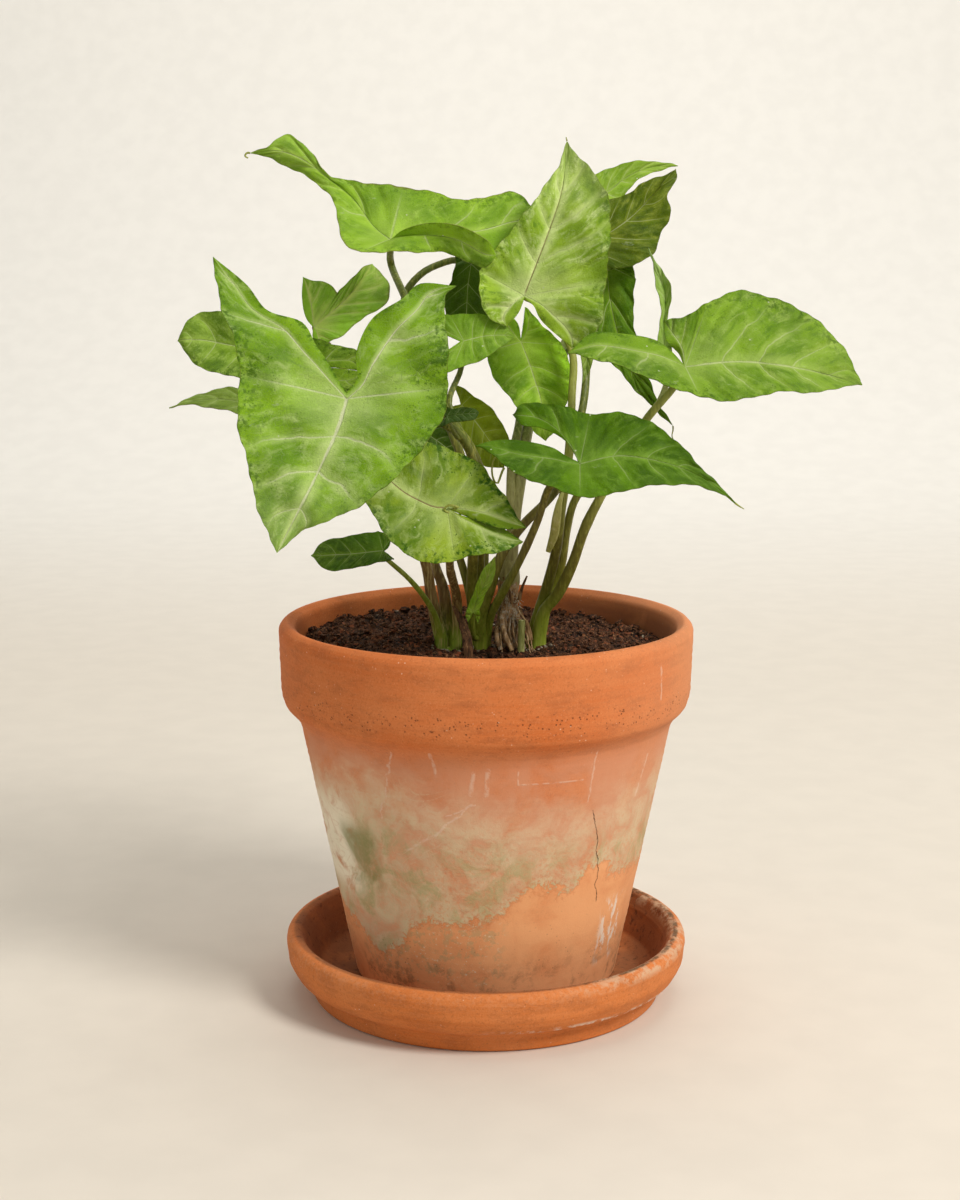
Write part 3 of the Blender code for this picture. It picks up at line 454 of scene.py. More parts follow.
def pot_material(settings, clay, line):
    g, shader = new_material("pot_clay")
    base = g.use(clay, Clay=settings.clay, Pale=settings.worn, Dark=(0.30, 0.085, 0.03), Pits=0.0, Lines=0.45)
    place = g.place()
    arc, height, front = wall_place(g)
    x = g.parts(place)[0]
    radius = from_axis(g, place)
    outside = g.span(radius, 49.0, 50.5)
    broad = g.noise(place, 45.0, 5.0, 0.6, 0.6)
    patchy = g.noise(place, 75.0, 5.0, 0.62, 0.8)
    fine = g.noise(place, 700.0, 4.0, 0.7)
    rough = g.noise(place, 240.0, 5.0, 0.7)
    ragged = g.times(g.math("SUBTRACT", g.noise(place, 115.0, 6.0, 0.70, 0.5), 0.5), 26.0)
    ragged = g.plus(ragged, g.times(g.math("SUBTRACT", fine, 0.5), 10.0))
    colour = base["Colour"]

    def lay(mask, tint):
        return g.mix(g.times(mask, outside), colour, tint)

    # Painted light that pales the right side, pits low on the collar and the worn wall under it
    colour = lay(g.times(g.span(arc, 10.0, 95.0), front, 0.36), rgb(224, 166, 124))
    pits = g.times(g.span(g.cells(place, 700.0), 0.30, 0.14), g.span(rough, 0.42, 0.58),
                   within(g, height, 126.0, 131.0, 4.0))
    colour = lay(g.times(pits, 0.8), (0.20, 0.06, 0.02))
    upper = g.times(within(g, height, 84.0, 108.0, 14.0), g.span(broad, 0.3, 0.6, 0.3, 0.85))
    colour = lay(upper, rgb(206, 142, 108))

    # Lime and algae that came through the wall, between an upper and a lower border
    foot = curve_of(g, arc, -130.0, 130.0,
                    [(-130, 50), (-84, 43), (-66, 36), (-54, 30), (-42, 32), (-30, 46), (-6, 48),
                                           (8, 53), (18, 63), (34, 60), (46, 70), (56, 62), (80, 60),
                                           (130, 50)])
    top = curve_of(g, arc, -130.0, 130.0,
                   [(-130, 90), (-70, 94), (-45, 100), (-20, 95), (10, 92), (34, 90), (60, 96),
                                          (90, 98), (130, 90)])
    above_foot = g.math("SUBTRACT", g.plus(height, ragged), foot)
    under_top = g.math("SUBTRACT", top, g.plus(height, g.times(ragged, 0.8)))
    band = g.times(g.span(above_foot, -1.5, 1.5), g.span(under_top, -10.0, 18.0))
    left = g.times(g.span(arc, 6.0, -60.0), front)
    haze = g.times(g.span(above_foot, -1.5, 3.0), g.span(under_top, -18.0, 14.0),
                   g.span(broad, 0.25, 0.6, 0.6, 1.0),
                   g.span(patchy, 0.36, 0.52, 0.55, 1.0), g.span(fine, 0.32, 0.56, 0.6, 1.0))
    colour = lay(g.times(haze, g.plus(g.times(left, 0.50), 0.42)), rgb(232, 212, 182))
    cover = g.times(g.span(patchy, 0.30, 0.52, 0.35, 1.0), g.span(fine, 0.34, 0.56, 0.45, 1.0))
    lime = g.times(band, cover, g.plus(g.times(left, 0.25), 0.72))
    colour = lay(lime, g.mix(g.span(patchy, 0.35, 0.65), rgb(196, 150, 116), settings.lime))
    green = g.times(band, g.span(g.noise(place, 52.0, 5.0, 0.62, 1.2), 0.46, 0.62),
                    g.span(under_top, 6.0, 26.0), cover)
    colour = lay(g.times(green, g.plus(g.times(left, 0.05), 0.50)), settings.algae)
    edge = g.times(band, g.span(above_foot, 9.0, 1.0), g.span(fine, 0.4, 0.6))
    colour = lay(g.times(edge, 0.55), rgb(204, 190, 152))
    chalky = g.times(within(g, arc, -110.0, -64.0, 14.0), within(g, height, 58.0, 88.0, 10.0),
                     g.span(patchy, 0.34, 0.54))
    colour = lay(g.times(chalky, band, 0.80), rgb(246, 238, 216))

    # Dried tide marks that loop over the left of the wall, and a deeper green place
    tides = g.noise(g.stretched(place, (1.0, 1.0, 1.3)), 26.0, 2.0, 0.4, 1.6)
    loops = [g.span(g.math("ABSOLUTE", g.math("SUBTRACT", tides, level)), 0.010, 0.0)
             for level in (0.38, 0.45, 0.52, 0.60)]
    near = g.times(within(g, arc, -66.0, -22.0, 14.0), within(g, height, 50.0, 98.0, 12.0))
    colour = lay(g.times(g.most(*loops), near, g.span(fine, 0.35, 0.6), 0.50), rgb(212, 184, 152))
    deep = g.times(within(g, arc, -62.0, -48.0, 7.0), within(g, height, 60.0, 76.0, 9.0),
                   g.span(broad, 0.35, 0.55))
    colour = lay(g.times(deep, 0.7), rgb(122, 124, 72))

    # Bare orange clay near the foot, with green and white scale and dark specks
    low = g.times(g.span(above_foot, 2.0, -4.0), g.span(height, 100.0, 70.0))
    colour = lay(g.times(low, g.span(broad, 0.25, 0.6, 0.4, 0.9)), rgb(234, 170, 120))
    scale_at = g.times(within(g, arc, -56.0, 0.0, 12.0), g.span(height, 16.0, 26.0), low)
    colour = lay(g.times(scale_at, g.span(rough, 0.50, 0.60), 0.6), rgb(186, 158, 116))
    colour = lay(g.times(scale_at, g.span(fine, 0.60, 0.66), 0.8), rgb(226, 206, 176))
    smear = g.times(within(g, arc, 58.0, 70.0, 5.0), within(g, height, 26.0, 46.0, 6.0),
                    g.span(g.noise(g.stretched(place, (300, 300, 80)), 1.0, 4.0, 0.65), 0.50, 0.57))
    colour = lay(g.times(smear, 0.8), rgb(232, 220, 206))
    dirt = g.times(g.span(height, 40.0, 12.0), g.span(patchy, 0.42, 0.62), g.span(rough, 0.40, 0.60))
    specks = g.times(g.span(g.cells(place, 500.0), 0.20, 0.10), g.span(height, 62.0, 20.0),
                     g.span(patchy, 0.42, 0.6))
    colour = lay(g.times(g.most(dirt, specks), 0.6), (0.12, 0.065, 0.03))

    # Scratches and a crack
    marks = [(-4.5, 110, -5.4, 101, 0.8, 2.0), (0.4, 111, -0.3, 101, 0.9, 2.0), (-5.4, 97, -18, 84, 0.6, 5.0),
             (-18, 84, -31, 76, 0.7, 6.0), (10.4, 110, 10.6, 105, 0.4, 2.0), (10.6, 105, 34, 104.6, 0.4, 3.0),
             (-32, 116, -40, 88, 0.5, 7.0), (38, 116, 37.5, 94, 0.4, 3.0), (-18, 117, -17, 108, 0.7, 3.0),
             (60, 146, 61, 132, 0.5, 2.0), (66, 108, 63, 92, 0.7, 4.0), (-14, 92, -4, 97, 0.4, 5.0)]
    masks = []
    for from_arc, from_height, to_arc, to_height, width, waver in marks:
        masks.append(g.use(line, Arc=arc, Height=height, From_Arc=from_arc, From_Height=from_height,
                           To_Arc=to_arc,
                           To_Height=to_height, Width=width, Waver=waver, Breaks=0.9)["Mask"])
    white = g.most(*masks)
    colour = lay(g.times(white, 0.38), rgb(230, 206, 188))
    cracks = [g.use(line, Arc=arc, Height=height, From_Arc=ends[0], From_Height=ends[1], To_Arc=ends[2],
                    To_Height=ends[3], Width=0.22, Waver=5.0, Breaks=0.5)["Mask"]
              for ends in ((40.0, 91.0, 44.0, 78.0), (44.0, 78.0, 46.5, 68.0), (46.5, 68.0, 49.5, 51.0))]
    crack = g.most(*cracks)
    colour = lay(g.times(crack, 0.75), (0.10, 0.045, 0.02))

    # Inside the rim painted shade that darkens the right of the wall, patchy and darker lower down
    inside = g.times(g.span(radius, 78.6, 77.2), g.span(height, 130.0, 140.0))
    inner_wall_shade = g.times(inside, g.span(x, 0.0, 0.05), g.span(broad, 0.25, 0.55, 0.3, 1.0),
                    g.span(height, 153.0, 146.0))
    colour = lay(g.times(inner_wall_shade, 0.6), (0.16, 0.055, 0.025))

    g.set(shader.inputs["Base Color"], colour)
    g.set(shader.inputs["Roughness"], base["Roughness"])
    height_map = g.plus(base["Height"], g.times(lime, 0.5), g.times(pits, -1.5), g.times(crack, -3.0),
                        g.times(white, 0.3))
    g.set(shader.inputs["Normal"], bumped(g, height_map, 0.00025, 0.9))
    shader.inputs["Specular IOR Level"].default_value = 0.2
    return bpy.data.materials["pot_clay"]


def saucer_material(settings, clay):
    g, shader = new_material("saucer_clay")
    golden = tuple(part * share for part, share in zip(settings.clay, (1.05, 1.18, 1.08)))
    base = g.use(clay, Clay=golden, Pale=settings.worn, Dark=(0.28, 0.085, 0.03), Pits=0.12, Lines=0.55)
    place = g.place()
    arc, height, front = wall_place(g)
    radius = from_axis(g, place)
    broad = g.noise(place, 50.0, 5.0, 0.62, 0.5)
    fine = g.noise(place, 600.0, 4.0, 0.7)
    colour = base["Colour"]
    beyond = g.math("SUBTRACT", radius, g.plus(g.times(height, 0.40), 67.8))
    inside = g.times(g.span(beyond, 0.8, -0.8), g.span(height, 3.0, 6.5))
    dirty = g.times(inside, g.span(broad, 0.25, 0.6, 0.45, 0.9))
    colour = g.mix(g.times(dirty, 0.75), colour, (0.13, 0.062, 0.032))
    crumbs = g.times(inside, g.span(g.noise(place, 260.0, 5.0, 0.7), 0.54, 0.66))
    colour = g.mix(g.times(crumbs, 0.6), colour, (0.045, 0.025, 0.015))

    # Lime on the rim at the right, a dark water line inside it, and a pale painted highlight along the groove
    # under the rim
    right = g.times(g.span(arc, 16.0, 52.0), front)
    rim = g.times(g.span(height, 21.5, 25.0), right)
    pale = g.times(rim, g.span(g.noise(place, 150.0, 5.0, 0.7), 0.42, 0.6))
    colour = g.mix(g.times(pale, 0.7), colour, (0.62, 0.45, 0.30))
    water = g.times(g.span(radius, 76.2, 77.2), g.span(radius, 79.0, 78.2), g.span(height, 24.0, 26.0), right,
                    g.span(g.noise(place, 200.0, 4.0, 0.7), 0.40, 0.54))
    colour = g.mix(g.times(water, 0.8), colour, (0.11, 0.075, 0.04))
    groove = g.times(g.span(height, 8.0, 9.4), g.span(height, 12.0, 10.2), g.span(radius, 72.0, 74.5))
    groove_highlight = g.times(groove, g.span(arc, -10.0, 40.0), front,
                           g.span(g.noise(place, 240.0, 4.0, 0.7), 0.44, 0.58))
    colour = g.mix(g.times(groove_highlight, 0.9), colour, (0.82, 0.72, 0.60))
    rubbed = g.times(g.span(height, 18.0, 25.5), g.span(radius, 77.0, 80.5), g.span(fine, 0.45, 0.62))
    colour = g.mix(g.times(rubbed, 0.15), colour, (0.70, 0.42, 0.26))
    specks = g.times(g.span(g.cells(place, 330.0), 0.13, 0.06), g.span(g.noise(place, 100.0), 0.45, 0.6))
    colour = g.mix(g.times(specks, 0.35), colour, (0.12, 0.05, 0.025))
    g.set(shader.inputs["Base Color"], colour)
    g.set(shader.inputs["Roughness"], base["Roughness"])
    g.set(shader.inputs["Normal"], bumped(g, g.plus(base["Height"], g.times(pale, 0.6)), 0.00022, 0.9))
    shader.inputs["Specular IOR Level"].default_value = 0.2
    return bpy.data.materials["saucer_clay"]


def arc_points(centre, radius, start, end, count):
    angles = np.radians(np.linspace(start, end, count))
    return [(centre[0] + radius * math.cos(a), centre[1] + radius * math.sin(a)) for a in angles]


def softened(profile, reach, closed, count=4):
    """A profile with its corners rounded off, at most reach from each."""
    corners = np.array(profile, float)
    result = []
    around = zip(np.roll(corners, 1, 0), corners, np.roll(corners, -1, 0))
    for place, (before, here, after) in enumerate(around):
        if not closed and place in (0, len(corners) - 1):
            result.append(here)
            continue
        back, on = before - here, after - here
        cut = min(reach, 0.4 * np.linalg.norm(back), 0.4 * np.linalg.norm(on))
        start, end = here + back / np.linalg.norm(back) * cut, here + on / np.linalg.norm(on) * cut
        for t in np.linspace(0, 1, count):
            result.append((1 - t) ** 2 * start + 2 * t * (1 - t) * here + t ** 2 * end)
    return np.array(result)


def divided(profile, step, closed):
    """The same profile with no run longer than step."""
    result = []
    follow = np.roll(profile, -1, 0)
    for one, other in list(zip(profile, follow))[: None if closed else -1]:
        count = max(1, int(np.linalg.norm(other - one) / step))
        result += [one + (other - one) * i / count for i in range(count)]
    if not closed:
        result.append(profile[-1])
    return np.array(result)


def lathe(profile, turns, waver, closed):
    """Points and faces of a profile turned round the Z axis, with a potter's slight unevenness.

    An open profile starts and ends near the axis, where flat caps close it."""
    turn = 2 * math.pi * np.arange(turns) / turns
    radius, height = profile[:, 0][:, None], profile[:, 1][:, None]
    waves = 0.10 * np.sin(height * 1.9) * np.sin(height * 0.23 + 0.4)
    ridges = waves + 0.05 * np.sin(height * 4.3 + turn[None])
    oval = waver * (np.cos(2 * turn + 0.6) + 0.4 * np.cos(3 * turn + 2.0))[None]
    away = radius + (ridges + oval) * np.clip((radius - 10) / 40, 0, 1)
    points = np.stack([away * np.cos(turn), away * np.sin(turn), height + 0 * turn], -1).reshape(-1, 3)
    count = len(profile)
    faces = []
    for i in range(count if closed else count - 1):
        low, high = i * turns, (i + 1) % count * turns
        for j in range(turns):
            after = (j + 1) % turns
            faces.append((high + j, high + after, low + after, low + j))
    if not closed:
        faces.append(tuple(range(turns)))
        faces.append(tuple(range((count - 1) * turns, count * turns))[::-1])
    return points, faces


def pot_profile():
    collar_foot = RIM_TOP - COLLAR_HEIGHT
    neck = collar_foot - COLLAR_STEP
    lip = LIP / 2
    outer = arc_points((RIM_RADIUS - lip, RIM_TOP - lip), lip, 90, 0, 4)
    outer += [(RIM_RADIUS - 0.8, collar_foot + 3), (RIM_RADIUS - 2.2, collar_foot - 2)]
    outer += [(BODY_TOP_RADIUS + 1.8, neck + 1.2), (BODY_TOP_RADIUS, neck - 2)]
    outer += [(BASE_RADIUS + 1.0, POT_FOOT + 3), (BASE_RADIUS - 1.2, POT_FOOT), (DRAIN_RADIUS, POT_FOOT)]
    inner = [(DRAIN_RADIUS, POT_FLOOR), (BASE_RADIUS - WALL - 2, POT_FLOOR)]
    inner += [(BASE_RADIUS - WALL + 2, POT_FLOOR + 5), (BODY_TOP_RADIUS - WALL, neck)]
    inner += [(RIM_RADIUS - LIP - 0.6, collar_foot + 6), (RIM_RADIUS - LIP + 0.6, RIM_TOP - 2.4)]
    return outer + inner


def saucer_profile():
    lip = 3.6
    outer = arc_points((SAUCER_RADIUS - lip, SAUCER_HEIGHT - lip), lip, 130, -10, 5)
    outer += [(SAUCER_RADIUS - 0.9, FOOT_HEIGHT + 6.5), (SAUCER_RADIUS - 4.0, FOOT_HEIGHT + 1.2)]
    outer += [(SAUCER_FOOT_RADIUS + 1.2, FOOT_HEIGHT - 0.5), (SAUCER_FOOT_RADIUS, FOOT_HEIGHT - 2.5)]
    outer += [(SAUCER_FOOT_RADIUS - 1.0, 0.8), (SAUCER_FOOT_RADIUS - 2.0, 0.0), (1.0, 0.0)]
    inner = [(1.0, SAUCER_FLOOR), (SAUCER_FOOT_RADIUS - 9, SAUCER_FLOOR)]
    inner += [(SAUCER_FOOT_RADIUS - 3.5, SAUCER_FLOOR + 3), (SAUCER_RADIUS - 8.5, SAUCER_HEIGHT - 6)]
    return inner + outer


# Leaf blades


def half(inner, lobe, outer, waist, front):
    """One side of a blade: round its basal lobe from the notch, then from the waist to the tip."""
    return {"inner": inner, "lobe": lobe, "outer": outer, "waist": waist, "front": front}


LEAVES = {
    "leaf_front_left": dict(
        hub=(347, 399, -62), tip=(277, 553, -4), slant=(0.05, 0.4), fold=7, arch=3,
        midrib=[(338, 428), (320, 468)],
        left=half([(327, 361), (316, 345), (303, 323), (267, 310), (247, 285)], (213, 257, -4),
                  [(217, 285), (222, 310), (234, 339)], (240, 375),
                  [(237, 417), (239, 433), (247, 460), (258, 510)]),
        right=half([(357, 379), (356, 354), (372, 319), (403, 298), (419, 284)], (456, 286, -2),
                   [(445, 298), (448, 343)], (448, 388),
                   [(446, 410), (428, 441), (405, 468), (360, 506), (300, 533)])),
    "leaf_lower_centre": dict(
        hub=(447, 508, -46), tip=(338, 440), slant=(0.0, 0.45), fold=4, arch=2,
        left=half([(461, 515), (480, 521, 2), (504, 529, 2)], (523, 542, 2),
                  [(504, 552), (481, 554)], (455, 561),
                  [(435, 564), (422, 561), (400, 550), (376, 520), (350, 468)]),
        right=half([(460, 514, 1), (480, 521.5, -1), (504, 529, -1)], (526, 528, -1),
                   [(511, 506), (504, 495)], (480, 463), [(461, 454), (443, 446), (428, 443), (375, 432)])),
    "leaf_right_low": dict(
        hub=(580, 464, -45), tip=(735, 503, 4), slant=(0.10, 1.1), fold=5, arch=4,
        midrib=[(620, 456), (675, 466), (705, 480), (722, 491)],
        left=half([(566, 456, -1), (553, 448), (515, 440), (492, 441)], (475, 446),
                  [(494, 455), (511, 471), (539, 483)],
                  (580, 497), [(603, 496), (642, 487), (690, 485), (722, 494)]),
        right=half([(573, 450, 1), (563, 439), (541, 428), (522, 425)], (513, 415, 3),
                   [(520, 406), (545, 403)],
                   (590, 414), [(630, 414), (667, 433), (705, 471)])),
    "leaf_top_centre": dict(
        hub=(524, 296, -3), tip=(567, 141, 2), slant=(-0.15, 0.25), fold=7, arch=2,
        midrib=[(550, 228), (562, 190)],
        left=half([(519, 312)], (507, 327), [(485, 314), (480, 291)], (479, 271),
                  [(495, 250), (536, 198), (559, 164)]),
        right=half([(533, 305, -1), (541, 320)], (572, 348), [(598, 330)], (606, 282),
                   [(610, 242), (609, 201), (595, 174), (579, 157)])),
    "leaf_top_left": dict(
        hub=(390, 240, -12), tip=(250, 153, 6), slant=(0.0, 1.1), fold=2,
        midrib=[(374, 227, 4), (354, 200, 2), (334, 183), (303, 160), (278, 151)],
        left=half([(401, 231, -11), (428, 223, -22), (456, 225, -28), (479, 235, -24), (491, 244, -22)],
                  (496, 255, -16), [(485, 268, -8), (450, 254, -8), (420, 252, -10)], (361, 252, -14),
                  [(343, 243, -8), (338, 218, -4), (330, 196), (316, 183, 4), (288, 167, 8), (268, 158, 6)]),
        right=half([(405, 239, 6), (450, 246, 12), (492, 254, 18)], (545, 222, 22),
                   [(516, 193, 10), (467, 200, 4), (428, 191)],
                   (403, 187), [(354, 181), (336, 178), (323, 169), (305, 145), (288, 135), (265, 147)])),
    "leaf_right": dict(
        hub=(685, 367, -18), tip=(862, 385, 4), slant=(0.25, 0.9), fold=5, arch=5,
        midrib=[(740, 362), (805, 370)],
        left=half([(671, 351, -2), (655, 340), (614, 333), (592, 333)], (568, 353, -2),
                  [(620, 366), (655, 381)],
                  (700, 397), [(731, 401), (779, 392), (822, 392), (850, 385)]),
        right=half([(679, 354, 5), (666, 340, 2)], (664, 321, 4), [(682, 317)], (708, 303),
                   [(735, 291), (779, 300), (811, 316), (839, 342), (854, 366)])),
    "leaf_centre": dict(
        hub=(521, 342, 22), tip=(546, 441), slant=(0.1, 0.25), fold=4,
        left=half([(523, 325)], (525, 307), [(546, 328)], (562, 345), [(572, 372), (567, 402), (558, 425)]),
        right=half([(518, 324)], (503, 308), [(490, 320)], (485, 352), [(497, 383), (514, 402), (533, 430)])),
    "leaf_centre_left": dict(
        hub=(464, 341, -8), tip=(514, 336), slant=(0.1, 0.5), fold=3,
        left=half([(445, 352)], (405, 384), [(425, 380)], (452, 371), [(485, 358), (507, 343)]),
        right=half([(445, 335)], (402, 322), [(425, 315)], (450, 315), [(483, 314), (505, 325)])),
    "leaf_back_dark": dict(
        hub=(471, 264, 28), tip=(464, 342), slant=(0.0, 0.2), fold=4,
        left=half([(480, 250)], (498, 236), [(500, 262)], (492, 283), [(492, 300), (486, 322)]),
        right=half([(464, 256)], (455, 246), [(455, 262)], (452, 280), [(445, 294), (447, 318)])),
    "leaf_olive": dict(
        hub=(462, 405, 20), tip=(504, 468), slant=(0.0, 0.2), fold=3,
        left=half([(452, 407)], (444, 417), [(447, 426)], (455, 437), [(466, 452), (486, 466)]),
        right=half([(458, 395)], (452, 383), [(460, 386)], (472, 395), [(493, 410), (508, 437), (508, 455)])),
    "leaf_dark_curl": dict(
        hub=(447, 417, -38), tip=(479, 413), slant=(0.0, 0.8), fold=2,
        left=half([(442, 420)], (436, 426), [(442, 427)], (450, 423), [(464, 421), (475, 419)]),
        right=half([(442, 413)], (437, 406), [(442, 405)], (452, 409), [(464, 407), (475, 409)])),
    "leaf_shade": dict(
        hub=(414, 425, 15), tip=(462, 458), slant=(0.0, 0.2), fold=2,
        left=half([(405, 428)], (395, 440), [(402, 448)], (415, 450), [(435, 458), (450, 461)]),
        right=half([(412, 415)], (408, 402), [(418, 404)], (430, 412), [(448, 430), (457, 445)])),
    "leaf_top_right_back": dict(
        hub=(588, 205, 56), tip=(678, 166), slant=(0.3, 0.5), fold=3,
        left=half([(578, 212)], (562, 222), [(575, 228)], (592, 224),
                  [(612, 210), (630, 188), (648, 174), (666, 169)]),
        right=half([(578, 200)], (560, 196), [(570, 186)], (585, 180),
                   [(603, 171), (624, 163), (645, 161), (664, 162)])),
    "leaf_top_right": dict(
        hub=(585, 248, 40), tip=(676, 169, 4), slant=(0.2, 0.3), fold=4,
        midrib=[(630, 218)],
        left=half([(582, 256)], (588, 272), [(605, 270)], (632, 267),
                  [(656, 250), (661, 234), (671, 212), (668, 193), (676, 179)]),
        right=half([(576, 242)], (562, 232), [(568, 218)], (585, 210),
                   [(607, 201), (626, 195), (640, 184), (662, 176)])),
    "leaf_hanging": dict(
        hub=(606, 264, 52), tip=(673, 426), slant=(0.0, 0.2), fold=3,
        midrib=[(612, 310), (632, 372)],
        left=half([(614, 258)], (624, 250), [(632, 262)], (636, 279),
                  [(633, 305), (637, 340), (649, 380), (658, 401)]),
        right=half([(598, 258)], (588, 250), [(584, 262)], (586, 280),
                   [(590, 315), (603, 350), (625, 378), (648, 403)])),
    "leaf_narrow_right": dict(
        hub=(664, 347, 12), tip=(648, 247), slant=(0.0, 0.15), fold=3,
        left=half([(661, 351)], (656, 360), [(655, 352)], (657, 343), [(661, 315), (656, 283), (651, 258)]),
        right=half([(666, 353, 1)], (673, 360), [(673, 350)], (671, 340),
                   [(667, 318), (672, 288), (661, 270)])),
    "leaf_left": dict(
        hub=(300, 368, -12), tip=(178, 341, 2), slant=(0.0, 0.4), fold=4,
        left=half([(312, 367.8), (338, 368.3)], (364, 372), [(354, 392), (325, 399)], (290, 392),
                  [(240, 377), (211, 372), (190, 359)]),
        right=half([(312, 367.4), (338, 367.9)], (364, 371.5), [(357, 352), (338, 345)], (300, 335),
                   [(250, 318), (207, 311), (184, 325)])),
    "leaf_left_narrow": dict(
        hub=(300, 418, 30), tip=(169, 408), slant=(0.1, 1.4), fold=2,
        left=half([(312, 424)], (340, 436), [(325, 438)], (300, 434), [(260, 420), (218, 409), (190, 405)]),
        right=half([(312, 414)], (340, 406), [(325, 400)], (298, 398), [(258, 391), (222, 388), (190, 398)])),
    "leaf_back_left": dict(
        hub=(314, 327, 22), tip=(372, 264, 4), slant=(0.0, 0.5), fold=2,
        midrib=[(345, 300)],
        left=half([(306, 318), (302, 298)], (303, 277), [(314, 281), (330, 284)], (338, 293),
                  [(348, 282), (362, 268)]),
        right=half([(313, 338)], (320, 348), [(331, 342)], (345, 334), [(361, 319), (385, 305), (389, 283)])),
    "leaf_low_left": dict(
        hub=(383, 551, -14), tip=(311, 556, 2), slant=(0.0, 0.9), fold=2,
        left=half([(388, 554)], (394, 559), [(388, 561)], (378, 562), [(350, 569), (325, 569)]),
        right=half([(388, 548)], (391, 541), [(388, 535)], (378, 531), [(350, 536), (325, 541)])),
    "leaf_curled_tip": dict(
        hub=(589, 340, 24), tip=(582, 384), slant=(0.0, 0.3), fold=2,
        left=half([(593, 336)], (597, 331), [(598, 338)], (596, 347), [(591, 366), (586, 378)]),
        right=half([(585, 336)], (580, 332), [(579, 338)], (580, 347), [(581, 360), (583, 372)])),
    "leaf_young": dict(
        hub=(473, 612, -16), tip=(495, 556), slant=(0.1, 0.0), fold=1.5,
        left=half([(472, 615)], (468, 622), [(466, 616)], (468, 607), [(475, 588), (485, 567)]),
        right=half([(475, 616)], (478, 624), [(480, 617)], (480, 608), [(485, 595), (494, 579)])),
}

